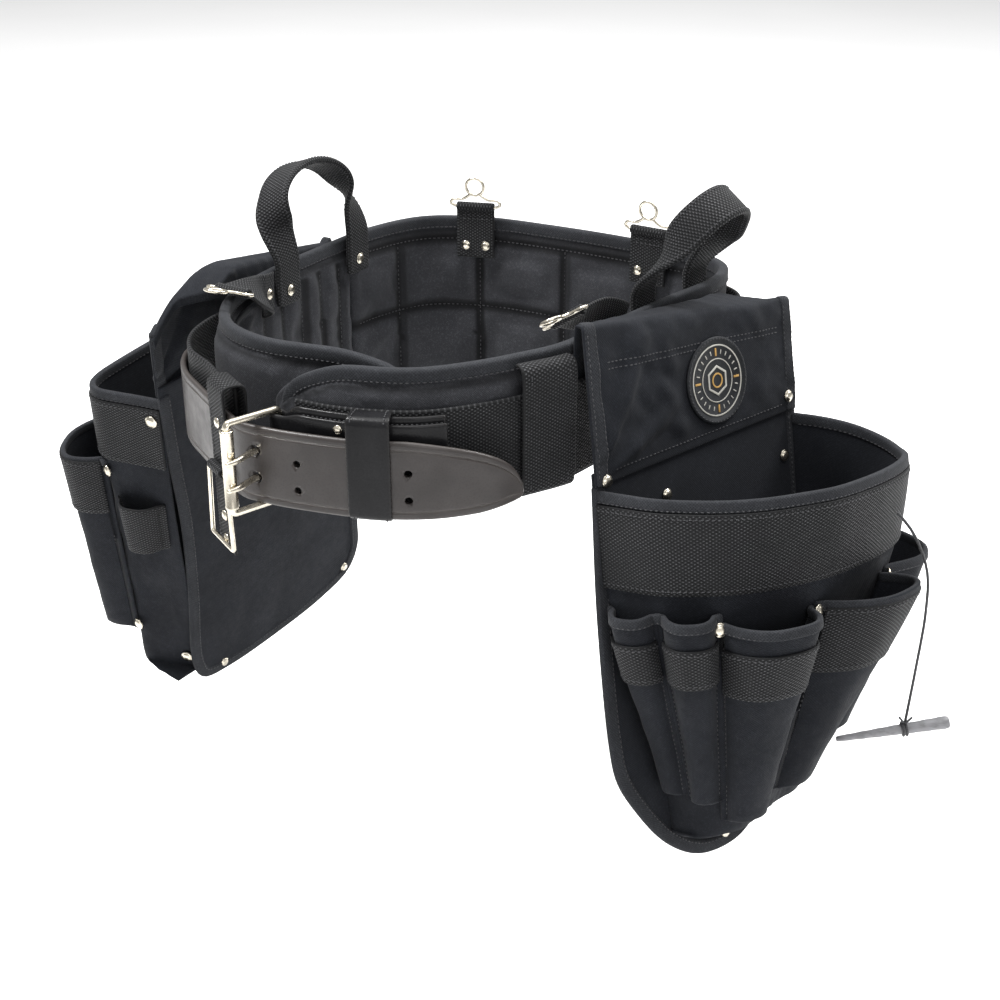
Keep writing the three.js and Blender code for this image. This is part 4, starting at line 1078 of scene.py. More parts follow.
# ---------- lifting handles ----------
def handle_path(foot_a, foot_b, rise, lean):
    """The arch's middle line and its width direction, both feet on the pad's inner side."""
    offset = -(PAD_HALF + HANDLE_GAP + HANDLE_THICK / 2)
    a, b = pad_line.nearest(*foot_a), pad_line.nearest(*foot_b)
    start, end = pad_line.at(a, offset, HANDLE_FOOT), pad_line.at(b, offset, HANDLE_FOOT)
    along, span = unit(end - start), np.linalg.norm(end - start)
    up, out = vec(0, 0, 1), pad_line.out(a)
    legs = PAD_TOP - HANDLE_FOOT + 9
    lean_up = up * math.cos(lean) + out * math.sin(lean)
    lean_out = out * math.cos(lean) - up * math.sin(lean)
    plan = [start + up * legs * t for t in (0, 0.5, 1)]
    for i in range(1, 12):
        angle = math.pi * i / 12
        x = span * (0.5 - 0.5 * math.cos(angle) * (1 + 0.24 * math.sin(angle)))
        h = rise * math.sin(angle) ** 0.75
        plan.append(start + up * legs + along * x + lean_up * h)
    plan += [end + up * legs * t for t in (1, 0.5, 0)]
    path = spline(plan, 6)
    t = np.linspace(0, 1, len(path))
    twist = smooth((np.minimum(t, 1 - t) - 0.1) / 0.22)[:, None]
    flat = np.where(t < 0.5, 1, -1)[:, None] * along
    return path, flat * (1 - twist) - lean_out * twist, (a, b)


def add_handle(name, foot_a, foot_b, rise, lean):
    """A webbing arch that bends just above the pad, with a rivet through each foot."""
    path, across, stations = handle_path(foot_a, foot_b, rise, lean)
    piece = Piece(WEBBING, THREAD)
    piece.tube(path, across, rounded_box(HANDLE_WIDTH, HANDLE_THICK, 2.1))
    tangent = unit(np.gradient(path, axis=0))
    wide = square_to(across, tangent)
    face = np.cross(tangent, wide)
    for w in (-10.4, 10.4):
        for side in (1, -1):
            piece.stitches(path + wide * w + face * side * HANDLE_THICK / 2, face * side)
    bend = [vec(*path[len(path) // 2][:2], z) for z in (PAD_TOP - 8, PAD_TOP + 9)]
    piece.make(f"{name}_strap", "belt", name, slot="webbing", blend=(name, *bend))
    heads = Piece(NICKEL)
    offset = -(PAD_HALF + HANDLE_GAP + HANDLE_THICK)
    for s in stations:
        heads.rivet(pad_line.at(s, offset, HANDLE_FOOT + 9), -pad_line.out(s))
    heads.make(f"{name}_rivets", "belt", f"{name}_rivet_front", f"{name}_rivet_rear", slot="nickel")


# ---------- suspender tabs and their rings ----------
def strap_grid(path, across, width, columns=9):
    """A grid of points for a flat strap along a path."""
    tangent = unit(np.gradient(path, axis=0))
    wide = square_to(across, tangent)
    w = np.linspace(-width / 2, width / 2, columns)
    return path[:, None] + wide[:, None] * w[None, :, None], wide, np.cross(tangent, wide)


def add_eye(piece, centre, turning, across, half, columns):
    """Webbing folded round a ring's wire."""
    roll = centre + EYE_MIDDLE * turn_round(*turning, 24)
    w = np.linspace(-half, half, columns)
    piece.sheet(roll[None] + across * w[:, None, None], EYE_THICK, loop=True)


def add_suspender(name, body, stations, lean):
    """A tab through stations of (point, width direction), and the wire ring in its rolled end."""
    path = spline([point for point, _ in stations], 10)
    t = np.linspace(0, len(stations) - 1, len(path))
    guides = np.array([unit(across) for _, across in stations])
    across = read_at(t, np.arange(len(stations)), guides)
    grid, wide, face = strap_grid(path, across, TAB_WIDTH)
    piece = Piece(WEBBING, THREAD)
    piece.sheet(grid, TAB_THICK)
    eye = path[-1]
    towards = unit(eye - path[-2])
    across = unit(wide[-1])
    normal = np.cross(towards, across)
    add_eye(piece, eye, (towards, normal), across, TAB_WIDTH / 2, 9)
    for back in (6.5, 9.5):
        line = eye - towards * back + across * np.linspace(-11, 11, 12)[:, None]
        for side in (1, -1):
            piece.stitches(line + face[-1] * side * TAB_THICK / 2, face[-1] * side)
    piece.make(f"{name}_tab_strap", "belt", f"{name}_tab", slot="webbing")

    top = towards * math.cos(lean) + normal * math.sin(lean)
    reach = TAB_WIDTH / 2 + 2.6
    bend = [(reach - 2, 0), (reach, 0.2), (reach + 3.2, 2.4), (reach + 1.4, 5.2),
            (10, 6.2), (6, 8.4), (3.6, 10.4)]
    wire = circle(RING_WIRE, 12)

    def at(w, h):
        return eye + across * w + top * h

    ring = Piece(NICKEL)
    ring.tube([at(-reach + 1, 0), eye, at(reach - 1, 0)], normal, wire)
    for side in (-1, 1):
        ring.tube(spline([at(side * w, h) for w, h in bend], 6), normal, wire)
    round_part = at(0, RING_CENTRE) + RING_RADIUS * turn_round(across, top, 32)[:-1]
    ring.tube(round_part, normal, wire, closed=True)
    ring.make(f"{name}_ring_wire", body, f"{name}_ring", slot="nickel")


def on_pad(x, y, z, inset):
    """The middle of a tab lying on the pad's inner side near (x, y), and the way out there."""
    s = pad_line.nearest(x, y)
    return pad_line.at(s, -(PAD_HALF + inset + TAB_THICK / 2), z), pad_line.out(s)


def add_suspenders():
    up = vec(0, 0, 1)
    heads = Piece(NICKEL)
    for side, x, y in (("left", -95, 160), ("right", 57, 164.5)):
        point, out = on_pad(x, y, PAD_TOP + TAB_RISE - TAB_BACK_LENGTH, 1.6)
        across = vec(-out[1], out[0], 0)
        add_suspender(f"suspender_back_{side}", f"ring_back_{side}",
                      [(point, across), (point + up * TAB_BACK_LENGTH / 2, across),
                       (point + up * TAB_BACK_LENGTH, across)], 0.15)
        for w in (-8, 8):
            heads.rivet(point + across * w + up * 9 - out * TAB_THICK / 2, -out, *SMALL_RIVET)
    left_out = vec(-1, -0.25, 0.1)
    add_suspender("suspender_front_left", "ring_front_left", [
        (on_pad(-152, -41.5, 60, 1.6)[0], up), (on_pad(-149, -58, 62, 2.4)[0], up),
        (vec(-129, -74, 70), up + left_out * 0.9), (vec(-131, -100, 80), left_out)], 0.1)
    right_out = vec(0.95, -0.3, 0)
    add_suspender("suspender_front_right", "ring_front_right", [
        (on_pad(113, 17, 62, 3)[0], up), (vec(94.5, -6, 74), up + right_out * 0.5),
        (vec(87, -32, 79), up + right_out * 1.4)], -0.1)
    point, out = on_pad(-150, -50, 61, 2 + TAB_THICK / 2)
    heads.rivet(point + out * 0.6, -out, 4, 2)
    s = front_line.nearest(4, -159)
    heads.rivet(front_line.at(s, STRAP_FACE + STRAP_THICK / 2, 38.3), front_line.out(s), 2.9, 1.6)
    heads.make("belt_rivets", "belt", "suspender_front_left_rivet", "buckle_strap_rivet", slot="nickel")


# ---------- tool tab with its hinged ring ----------
def add_tool_tab():
    """A webbing tab folded over the billet and riveted, with a four-sided ring in its eye."""
    middle = billet_line.nearest(*TOOL_TAB)
    behind, front, thick = -11.4, 2.8, 1.8
    edge = thick / 2
    profile = [(behind + edge, 6.6), (behind + edge, 30), (behind + edge, 50), (behind + 2.4, 52.4),
               (front - 1, 52.6), (front + edge, 50.8), (front + edge, 30), (front + edge, 0),
               (front + edge, -30), (front + edge, TOOL_TAB_FOOT + 0.6)]
    profile = resample(spline(profile, 8), 60)
    half = TOOL_TAB_WIDTH / 2
    s = np.linspace(middle - half + 0.6, middle + half - 0.6, 9)
    points = billet_line.at(s[None, :], profile[:, :1], profile[:, 1:])
    piece = Piece(WEBBING, THREAD, NICKEL)
    piece.sheet(points, thick)
    along = unit(billet_line.at(middle + 1) - billet_line.at(middle - 1))
    out = billet_line.out(middle)
    here = billet_line.at(middle, front + thick + 2.55, TOOL_RING_TOP)
    add_eye(piece, here, (vec(0, 0, 1), out), along, half - 3.5, 7)
    for z in (TOOL_TAB_FOOT + 7, TOOL_TAB_FOOT + 24, 26):
        piece.rivet(billet_line.at(middle, front + thick, z), out, *SMALL_RIVET, slot=2)
    for w in (-9.5, 9.5):
        line = billet_line.at(middle + w, front + thick, np.linspace(TOOL_TAB_FOOT + 3, 48, 30))
        piece.stitches(line, out)
    piece.make("tool_tab_strap", "belt", "tool_tab", slot="webbing")
    ring = Piece(NICKEL)
    corners = [here + along * w - vec(0, 0, h)
               for w, h in ((-14, 0), (14, 0), (18, TOOL_RING_DROP), (-18, TOOL_RING_DROP))]
    ring.tube(arc_corners(corners, 2.6), out, circle(TOOL_WIRE, 12), closed=True)
    ring.make("tool_ring_wire", "tool_ring", "tool_ring", slot="nickel")


# ---------- pouches ----------
class PouchFrame:
    """A pouch's own panel: a runs from its front edge to the rear, h down from the sleeve's top,
    d outward from the panel."""

    def __init__(self, corner, azimuth, tilt, roll):
        turn, lean, rolled = (math.radians(v) for v in (azimuth, tilt, roll))
        outward = vec(math.sin(turn), -math.cos(turn), 0)
        rearward = vec(-outward[1], outward[0], 0)
        if rearward[1] < 0:
            rearward = -rearward
        up = vec(0, 0, 1)
        down = outward * math.sin(lean) - up * math.cos(lean)
        self.corner = vec(*corner)
        self.flat_out = outward
        self.out = outward * math.cos(lean) + up * math.sin(lean)
        self.rear = rearward * math.cos(rolled) - down * math.sin(rolled)
        self.down = down * math.cos(rolled) + rearward * math.sin(rolled)
        self.droop = 0.3 * math.tan(lean)

    def at(self, a, h, d):
        a, h, d = (np.asarray(v, float)[..., None] for v in (a, h, d))
        return self.corner + a * self.rear + h * self.down + d * self.out

    def depth_of(self, z, a):
        """How far down the panel a height z lies."""
        return (z - self.at(a, 0, 0)[2]) / self.down[2]


WALL_COLUMNS = 96
SMALL_COLUMNS = 33
SLEEVE_ROWS = (16, 10, 46)           # mesh rows up the sleeve's inner layer, over its top, down outside
OUTER_ROW = SLEEVE_ROWS[0] + SLEEVE_ROWS[1]
SLEEVE_SEWN_ROWS = (37, 39, -4)      # rows with stitches: two below the sleeve's top, one at the seam
BINDING_ROW = 20                     # where the bindings of the sleeve's ends begin


class Pouch:
    """One pouch: sleeve, back panel, main pocket with its band, and the pockets sewn on it."""

    def __init__(self, name, spec):
        self.name = name
        self.__dict__.update(spec)
        self.frame = PouchFrame(self.corner, self.azimuth, self.tilt, self.roll)
        self.body = f"{name}_pouch"
        self.sleeve_body = f"{name}_sleeve"

    def plan_corners(self, h):
        """The wall's outline in plan at depth h, between its rim's and its foot's."""
        t = (h - RIM_H) / (self.foot_h - RIM_H)
        rim, foot = np.array(self.rim_plan, float), np.array(self.foot_plan, float)
        mix = np.array([float(smooth(t * 1.3 - 0.3)), max(t, 0) ** 1.25])
        return rim + (foot - rim) * mix

    def plan(self, h, columns=WALL_COLUMNS):
        return resample(spline(self.plan_corners(h), 8), columns)

    def seam_rise(self, a):
        """How much higher the sleeve's lower seam lies at a than at its front end."""
        return self.rim_rise * (a / self.outline[1][0])

    def level(self, h, a, d):
        """Depth h corrected so that the tilted pocket's rim hangs level and meets its seam."""
        t = np.clip((h - RIM_H) / (self.foot_h - RIM_H), 0, 1)
        rise = self.seam_rise(a) * np.clip(1 - d / 80, 0, None)
        return h + (self.frame.droop * d - rise) * (1 - t)

    def wall_row(self, h, offset, drop=0.0, shut=0.0):
        """A level line round the pocket's wall; shut draws it in towards the panel."""
        p = sideways(self.plan(h), offset)
        d = np.clip(p[:, 1], 0, None) * (1 - shut)
        return self.frame.at(p[:, 0], self.level(h, p[:, 0], d) + drop, d)

    def wall_point(self, f, h, offset):
        """A plan point beside the wall, f from 0 to 1 along it from its front seam."""
        plan = sideways(self.plan_corners(h), offset)
        s = lengths_of(plan)
        goal = np.clip(f, 0, 1) * s[-1]
        return vec(np.interp(goal, s, plan[:, 0]), np.interp(goal, s, plan[:, 1]))

    def wall_spot(self, f, h, offset):
        """A point beside the wall in the belt's own space, and its outward direction."""
        near, far = (self.place(self.wall_point(f, h, o)[None], h)[0] for o in (offset, offset + 2))
        return near, unit(far - near)

    def place(self, points, h):
        """Plan points (a, d) in the belt's own space, at depth h."""
        d = np.clip(points[:, 1], 1, None)
        return self.frame.at(points[:, 0], self.level(h, points[:, 0], points[:, 1]), d)

    # -- back panel --
    def panel_sides(self):
        """The panel's front and rear edges as (h, a), from its top to its lowest point."""
        outline = np.array(self.outline, float)
        lowest = int(np.argmax(outline[:, 1]))
        rear = spline(outline[1:lowest + 1], 8)
        front = spline(np.vstack([outline[lowest:], outline[:1]]), 8)[::-1]
        return [side[np.argsort(side[:, 1])] for side in (front, rear)]

    def add_panel(self):
        """The back panel, from just above the riveted seam below the sleeve down to its foot."""
        front, rear = self.panel_sides()
        top, foot = HINGE_H + 1, max(h for _, h in self.outline)
        slant = (self.outline[1][1] - self.outline[0][1]) / self.outline[1][0]
        above = np.array([-9.0, -4.0]) / (foot - top)
        t = np.concatenate([above, np.sin(np.linspace(0, 0.985, 44) * math.pi / 2)])
        h = top + (foot - top) * t
        u = np.linspace(0, 1, 40)
        first = np.interp(h, front[:, 1], front[:, 0])[:, None]
        last = np.interp(h, rear[:, 1], rear[:, 0])[:, None]
        a = first + (last - first) * u
        depth = h[:, None] + slant * a * np.clip(1 - t, 0, 1)[:, None] ** 3
        sag = 2.6 * rumple(np.stack([a, depth, 0 * a], -1), 55, 5.2 + self.azimuth)
        sag *= np.sin(u * math.pi) * smooth(t * 4)[:, None]
        points = self.frame.at(a, depth, PANEL_MIDDLE - np.abs(sag))
        piece = Piece(CANVAS)
        piece.sheet(points, PANEL_THICK)
        hinge, down = self.frame.at(100, HINGE_H, PANEL_MIDDLE), self.frame.down
        bend = (self.body, hinge - down * BEND_ABOVE, hinge + down * BEND_BELOW)
        node = f"{self.name}_back_panel"
        piece.make(f"{node}_cloth", self.sleeve_body, node, slot="canvas", blend=bend)
        self.add_panel_binding()

    def add_panel_binding(self):
        """Tape round the panel's sides and foot, sewn through on both faces."""
        outline = np.array(list(self.outline[1:]) + [self.outline[0]], float)
        path = resample(spline(outline, 8), 150)
        along = unit(np.gradient(path, axis=0))
        inward = np.stack([-along[:, 1], along[:, 0]], -1)
        centre = path.mean(0)
        inward *= np.sign(((centre - path) * inward).sum(-1).mean())
        piece = Piece(TAPE_CLOTH, THREAD)
        edge = path + inward * 3.6
        line = self.frame.at(edge[:, 0], edge[:, 1], PANEL_MIDDLE)
        across = inward[:, :1] * self.frame.rear + inward[:, 1:] * self.frame.down
        piece.tube(line, across, rounded_box(TAPE, 4.6, 1.9))
        sewn = path + inward * 6.6
        for d, facing in ((PANEL_MIDDLE + 2.35, 1), (PANEL_MIDDLE - 2.35, -1)):
            piece.stitches(self.frame.at(sewn[:, 0], sewn[:, 1], d), self.frame.out * facing)
        piece.make(f"{self.name}_panel_binding", self.body, slot="canvas")

    # -- main pocket --
    def add_main_pocket(self):
        """The wall with its upright folds below the band, and its foot drawn in to the panel."""
        band_foot = RIM_H + BAND_DROP + BAND_HEIGHT
        heights = np.concatenate([np.linspace(RIM_H + 2, band_foot + 2, 12),
                                  np.linspace(band_foot + 7, self.foot_h, 40)])
        u = np.linspace(0, 1, WALL_COLUMNS)
        rows = []
        for h in heights:
            cloth = np.stack([u * 420, np.full_like(u, h), 0 * u], -1)
            folds = 0.5 + 0.5 * rumple(cloth, 34, 2.7 + self.tilt)
            folds += 0.25 * rumple(cloth * (1, 0.35, 1), 12, 9.1)
            depth = 4.4 * folds * smooth((h - 172) / 40) * smooth(u * 14) * smooth((1 - u) * 14)
            rows.append(self.wall_row(h, -WALL / 2 - np.clip(depth, 0, 6)[:, None]))
        for shut in (0.12, 0.4, 0.7, 0.96):
            rows.append(self.wall_row(self.foot_h, -WALL / 2, 1.6 * math.sin(shut * math.pi), shut))
        piece = Piece(CANVAS, THREAD)
        piece.sheet(np.array(rows)[:, ::-1], WALL)
        node = f"{self.name}_main_pocket"
        piece.make(f"{node}_cloth", self.body, node, slot="canvas")
        self.add_rim()

    def add_rim(self):
        """The bound rim and the webbing band sewn under it."""
        rim = self.wall_row(RIM_H + 3.6, -WALL / 2)
        piece = Piece(TAPE_CLOTH, THREAD)
        piece.tube(rim, self.frame.down, rounded_box(8.4, 4.8, 2))
        for offset, facing in ((1.25, 1), (-WALL - 1.25, -1)):
            line = self.wall_row(RIM_H + 6.2, offset)
            outer = self.wall_row(RIM_H + 6.2, offset + facing)
            piece.stitches(line, unit(outer - line))
        piece.make(f"{self.name}_rim_binding", self.body, slot="canvas")
        top = RIM_H + BAND_DROP
        band = Piece(WEBBING, THREAD)
        heights = np.linspace(top + 0.4, top + BAND_HEIGHT - 0.4, 14)
        rows = [self.wall_row(h, BAND_MIDDLE) for h in heights]
        band.sheet(np.array(rows)[:, ::-1], BAND_THICK)
        for h in (top + 3, top + BAND_HEIGHT - 3):
            line = self.wall_row(h, BAND_MIDDLE + BAND_THICK / 2)
            band.stitches(line, unit(self.wall_row(h, BAND_MIDDLE + 3) - line))
        band.make(f"{self.name}_rim_webbing", self.body, f"{self.name}_rim_band", slot="webbing")

    # -- pockets sewn on the main pocket --
    def small_line(self, pocket, h, bulge, offset):
        """A small pocket's line at depth h, from its front flange over its bulge to its rear one."""
        start, end = pocket["start"], pocket["end"]
        t = float(np.clip((h - pocket["top"]) / (pocket["foot"] - pocket["top"]), 0, 1))
        reach = pocket["depth"] * (1 - pocket.get("taper", 0.55) * t) * bulge
        x = 0.5 - 0.5 * np.cos(np.linspace(0, math.pi, SMALL_COLUMNS))
        lift = (1 - np.abs(2 * x - 1) ** 3) * reach
        f = start + (end - start) * (0.5 + (x - 0.5) * (1 - 0.12 * t))
        line = eased([self.wall_point(at, h, SMALL_OFF + up) for at, up in zip(f, lift)])
        span = 4.5 / lengths_of(self.plan_corners(h))[-1]
        edges = [self.wall_point(at, h, 1.3 - SMALL_WALL / 2) for at in (f[0] - span, f[-1] + span)]
        line = np.vstack([edges[:1], line, edges[1:]])
        return sideways(line, offset)

    def small_row(self, pocket, h, offset, drop=0.0, bulge=1.0):
        return self.place(self.small_line(pocket, h, bulge, offset), h) + self.frame.down * drop

    def add_small_pocket(self, pocket):
        """A pocket sewn by its sides on the main one; an open one is a loop of webbing."""
        top, foot = pocket["top"], pocket["foot"]
        label = f"{self.name}_{pocket['name']}"
        open_ends = pocket.get("open", False)
        heights = np.linspace(top, foot, 8 if open_ends else 30)
        rows = []
        for h in heights:
            row = self.small_row(pocket, h, SMALL_WALL / 2)
            inner = self.small_row(pocket, h, SMALL_WALL / 2 - 1)
            fold = 0.5 + 0.5 * rumple(row, 16, 4.4)
            mask = smooth((h - top - 50) / 30) * np.sin(np.linspace(0, math.pi, len(row)))
            rows.append(row + (inner - row) * (1.8 * fold * mask)[:, None])
        if not open_ends:
            for shut in (0.25, 0.55, 0.85, 1.0):
                drop = 2.2 * math.sin(shut * math.pi * 0.6)
                rows.append(self.small_row(pocket, foot, SMALL_WALL / 2, drop, 1 - shut))
        piece = Piece(WEBBING if open_ends else CANVAS, THREAD, TAPE_CLOTH)
        grid = np.array(rows)[:, ::-1]
        piece.sheet(grid, SMALL_WALL)
        if not open_ends:
            rim = self.small_row(pocket, top + 2.4, SMALL_WALL / 2)
            piece.tube(rim, self.frame.down, rounded_box(7, 3.8, 1.6), slot=2)
            near, far = (self.small_row(pocket, top + 4.8, offset) for offset in (3, 6))
            piece.stitches(self.small_row(pocket, top + 4.8, SMALL_WALL / 2 + 1.9), unit(far - near))
            for column, beside in ((2, 3), (-3, -4)):
                side = grid[3:-4, column]
                facing = unit(np.cross(grid[3:-4, beside] - side, self.frame.down))
                facing *= np.sign(facing @ self.outward_at(pocket))[:, None]
                piece.stitches(side + facing * SMALL_WALL / 2, facing)
        piece.make(f"{label}_cloth", self.body, label, slot="webbing" if open_ends else "canvas")
        if "band_low" in pocket:
            self.add_small_band(pocket, label)

    def outward_at(self, pocket):
        """The way a small pocket faces, at its middle."""
        return self.wall_spot((pocket["start"] + pocket["end"]) / 2, pocket["top"], 4)[1]

    def add_small_band(self, pocket, label):
        high, low = pocket["band_high"], pocket["band_low"]
        rows = [self.small_row(pocket, h, SMALL_WALL + 1.35)[1:-1] for h in np.linspace(high, low, 9)]
        band = Piece(WEBBING, THREAD)
        band.sheet(np.array(rows)[:, ::-1], 1.5)
        for h in (high + 2.6, low - 2.6):
            line = self.small_row(pocket, h, SMALL_WALL + 2.1)[1:-1]
            outer = self.small_row(pocket, h, SMALL_WALL + 5)[1:-1]
            band.stitches(line, unit(outer - line))
        band.make(f"{label}_webbing", self.body, f"{label}_band", slot="webbing")

    # -- sleeve --
    def sleeve_profile(self, a):
        """The sleeve's middle line at one place, up its inner layer, over its top and down
        outside, with the depths of its top and of the seam below it."""
        end = self.sleeve_span[1]
        slope = self.sleeve_drop * (a / end) + self.front_drop * max(0, 1 - a / 70) ** 2
        top_h = self.frame.depth_of(SLEEVE_TOP - slope, a)
        top = self.frame.at(a, top_h, 0)
        near_web = web_line.nearest(top[0], top[1])
        under = web_line.at(near_web, -WEB_THICK / 2 - 0.5 - SLEEVE_CLOTH, 0)
        inset = min(a - self.tunnel_span[0], self.tunnel_span[1] - a)
        inward = float(smooth(inset / 14))
        beside = self.frame.at(a, top_h, -SLEEVE_CLOTH - 2.4)
        inner = beside + (under - beside) * inward
        hem = top[2] - 6
        low = hem + (TUNNEL_LOW - hem) * float(smooth((inset - 30) / 14))
        plan = (inner + self.frame.flat_out * SLEEVE_CLOTH / 2)[:2]
        seam = HINGE_H - 1 - self.seam_rise(a)
        corners = [np.append(plan, low), np.append(plan, top[2] - 1),
                   *(self.frame.at(a, h, SLEEVE_CLOTH / 2) for h in (top_h + 1, seam))]
        parts = [np.linspace(p, q, n, endpoint=False)
                 for p, q, n in zip(corners, corners[1:], SLEEVE_ROWS)]
        return eased(np.vstack([*parts, corners[-1]]), 3), top_h, seam

    def sleeve_swell(self, a, depth, low):
        """How far the outer layer stands out: soft waves and folds that fan from its lower front
        corner, with calm cloth under the patch."""
        cloth = np.stack([a * 0.8 + depth * 0.6, depth * 0.5 - a * 0.45, 0 * a], -1)
        waves = 0.6 * rumple(cloth, 26, 1.3 + self.azimuth) + 0.5 * rumple(cloth * (1, 2.2, 1), 15, 6.6)
        reach = np.hypot(a + 8, low - depth)
        turn = np.arctan2(a + 8, low - depth + 1)
        fan = np.clip(np.sin(turn * 11 + reach / 60), 0, 1) ** 2 * np.exp(-reach / 75)
        away = np.hypot(a - self.calm_spot[0], depth - self.calm_spot[1])
        calm = smooth((away - PATCH_RADIUS - 2) / 18)
        return (np.clip(waves + 0.25, 0, 1.4) + 1.3 * fan) * self.sleeve_rumple * calm

    def add_sleeve(self):
        """The open tunnel over the webbing, its outer layer sewn to the panel, its ends bound."""
        stations = np.linspace(*self.sleeve_span, 52)
        profiles = [self.sleeve_profile(a) for a in stations]
        grid = np.stack([p for p, _, _ in profiles], 1)
        rows = len(grid)
        row = np.arange(rows)[:, None]
        t = np.linspace(0, 1, rows - OUTER_ROW)
        depth = np.zeros((rows, len(stations)))
        for j, (_, top_h, seam) in enumerate(profiles):
            depth[OUTER_ROW:, j] = top_h + (seam - top_h) * t
        a = np.broadcast_to(stations, depth.shape)
        low = np.array([seam for _, _, seam in profiles])
        held = smooth((row - OUTER_ROW + 2) / 8) * smooth((rows - 1 - row) / 10)
        held = held * smooth(a / 14) * smooth((stations[-1] - a) / 14)
        grid = grid + self.frame.out * (self.sleeve_swell(a, depth, low) * held)[..., None]
        piece = Piece(CANVAS, THREAD, TAPE_CLOTH)
        piece.sheet(grid, SLEEVE_CLOTH)
        skin = grid + self.frame.out * SLEEVE_CLOTH / 2
        for sewn in SLEEVE_SEWN_ROWS:
            piece.stitches(skin[sewn, 4:-3], self.frame.out)
        bound = grid[BINDING_ROW:]
        across = unit(bound[:, 3] - bound[:, 0])
        for end, inset in ((0, 2), (-1, -3)):
            line = bound[:, end] * 0.35 + bound[:, inset] * 0.65
            piece.tube(line, across, rounded_box(TAPE, 3.8, 1.6), slot=2)
            for shift in (-3.4, 3.4):
                path = line[8:-1] + across[8:-1] * shift + self.frame.out * 1.9
                piece.stitches(path, self.frame.out)
        node = f"{self.name}_sleeve"
        piece.make(f"{node}_cloth", self.sleeve_body, node, slot="canvas")

    # -- rivets --
    def add_rivets(self):
        """Rivets of the moving pouch in one piece; a negative d puts a head on the wearer's side."""
        piece = Piece(NICKEL)
        nodes = []
        for label, a, h, d in self.rivets:
            side = -1 if d < 0 else 1
            piece.rivet(self.frame.at(a, h, d + side * 0.2), self.frame.out * side)
            if label:
                nodes.append(f"{self.name}_rivet_{label}")
        for f, h, offset in self.wall_rivets:
            spot, outward = self.wall_spot(f, h, offset)
            piece.rivet(spot, outward, *WALL_RIVET)
        piece.make(f"{self.name}_pouch_rivets", self.body, *nodes, slot="nickel")

    def build(self):
        self.add_sleeve()
        self.add_panel()
        self.add_main_pocket()
        for pocket in self.pockets:
            self.add_small_pocket(pocket)
        self.add_rivets()


def pocket(name, start, end, depth, top, foot, **more):
    return {"name": name, "start": start, "end": end, "depth": depth, "top": top, "foot": foot, **more}


RIGHT_POUCH = {
    "corner": (111.5, -60.5, 86), "azimuth": 72, "tilt": 14, "roll": -5,
    "sleeve_span": (0, 198), "sleeve_drop": 24, "front_drop": 0, "rim_rise": 17,
    "tunnel_span": (-60, 180), "sleeve_rumple": 5.0, "calm_spot": PATCH_AT,
    "outline": (
        (0, HINGE_H + 1), (198, HINGE_H - 16), (200, 312), (194, 338), (175, 356), (131, 371),
        (108, 381), (71, 379), (40, 360), (14, 328), (0, 303), (-4, 280), (-5, 190),
    ),
    "foot_h": 352,
    "rim_plan": (
        (1, 0), (4, 20), (8, 40), (17, 58), (32, 76), (55, 93), (80, 103), (105, 110), (133, 110),
        (160, 107), (186, 100), (204, 90), (214, 74), (218, 54), (216, 34), (208, 16), (197, 0),
    ),
    "foot_plan": (
        (44, 0), (43, 10), (44, 20), (48, 28), (56, 34), (66, 37), (78, 38), (92, 36), (106, 33),
        (120, 29), (136, 27), (152, 24), (166, 20), (176, 15), (183, 10), (186, 5), (186, 0),
    ),
    "pockets": (
        pocket("tube_pocket_front", 0.02, 0.097, 14, 182, 316, band_high=200, band_low=228),
        pocket("tube_pocket_rear", 0.126, 0.212, 16, 182, 320, band_high=200, band_low=228),
        pocket("middle_pocket", 0.235, 0.41, 26, 188, 336, band_high=206, band_low=238),
        pocket("side_pocket", 0.45, 0.65, 30, 186, 326, band_high=190, band_low=236),
        pocket("rear_pocket", 0.7, 0.88, 28, 184, 306),
    ),
    "rivets": (("seam", 64, 121, 0), ("back", 185, 118, 0), ("foot_front", 84, 366, 1),
               ("", 96, 372, 1)),
    "wall_rivets": ((0.2235, 191, 4.6), (0.43, 191, 4.6), (0.675, 189, 4.6)),
}

LEFT_POUCH = {
    "corner": (-197.2, -114, 84), "azimuth": -98, "tilt": 10, "roll": 9,
    "sleeve_span": (0, 178), "sleeve_drop": 22, "front_drop": 52, "rim_rise": 0,
    "tunnel_span": (22, 260), "sleeve_rumple": 3.5, "calm_spot": (-900, 0),
    "outline": (
        (0, HINGE_H + 1), (198, HINGE_H + 1), (200, 340), (199, 372), (186, 392), (150, 402),
        (90, 405), (40, 403), (12, 396), (4, 378), (7, 300), (8, 230), (3, 160),
    ),
    "foot_h": 384,
    "rim_plan": (
        (0, 0), (-6, 16), (-13, 33), (-18, 48), (-15, 58), (-4, 64), (18, 67), (50, 69), (88, 70),
        (122, 69), (150, 66), (172, 60), (187, 50), (194, 38), (197, 25), (198, 12), (197, 0),
    ),
    "foot_plan": (
        (8, 0), (0, 13), (-8, 26), (-15, 38), (-11, 47), (4, 51), (28, 53), (58, 52), (88, 51),
        (112, 49), (134, 45), (152, 39), (164, 32), (171, 24), (175, 16), (176, 8), (176, 0),
    ),
    "pockets": (
        pocket("gusset_loop", 0.035, 0.125, 9, 205, 248, open=True, taper=0),
        pocket("outer_pocket", 0.18, 0.4, 32, 172, 346, taper=0.25, band_high=174, band_low=224),
    ),
    "rivets": (("seam", 35, 140, -2.6), ("foot_front", 34, 396, -2.6),
               ("foot_rear", 182, 386, -2.6)),
    "wall_rivets": ((0.02, 124, 2.6), (0.155, 180, 2.2), (0.16, 340, 2.2), (0.03, 372, 1.2)),
}


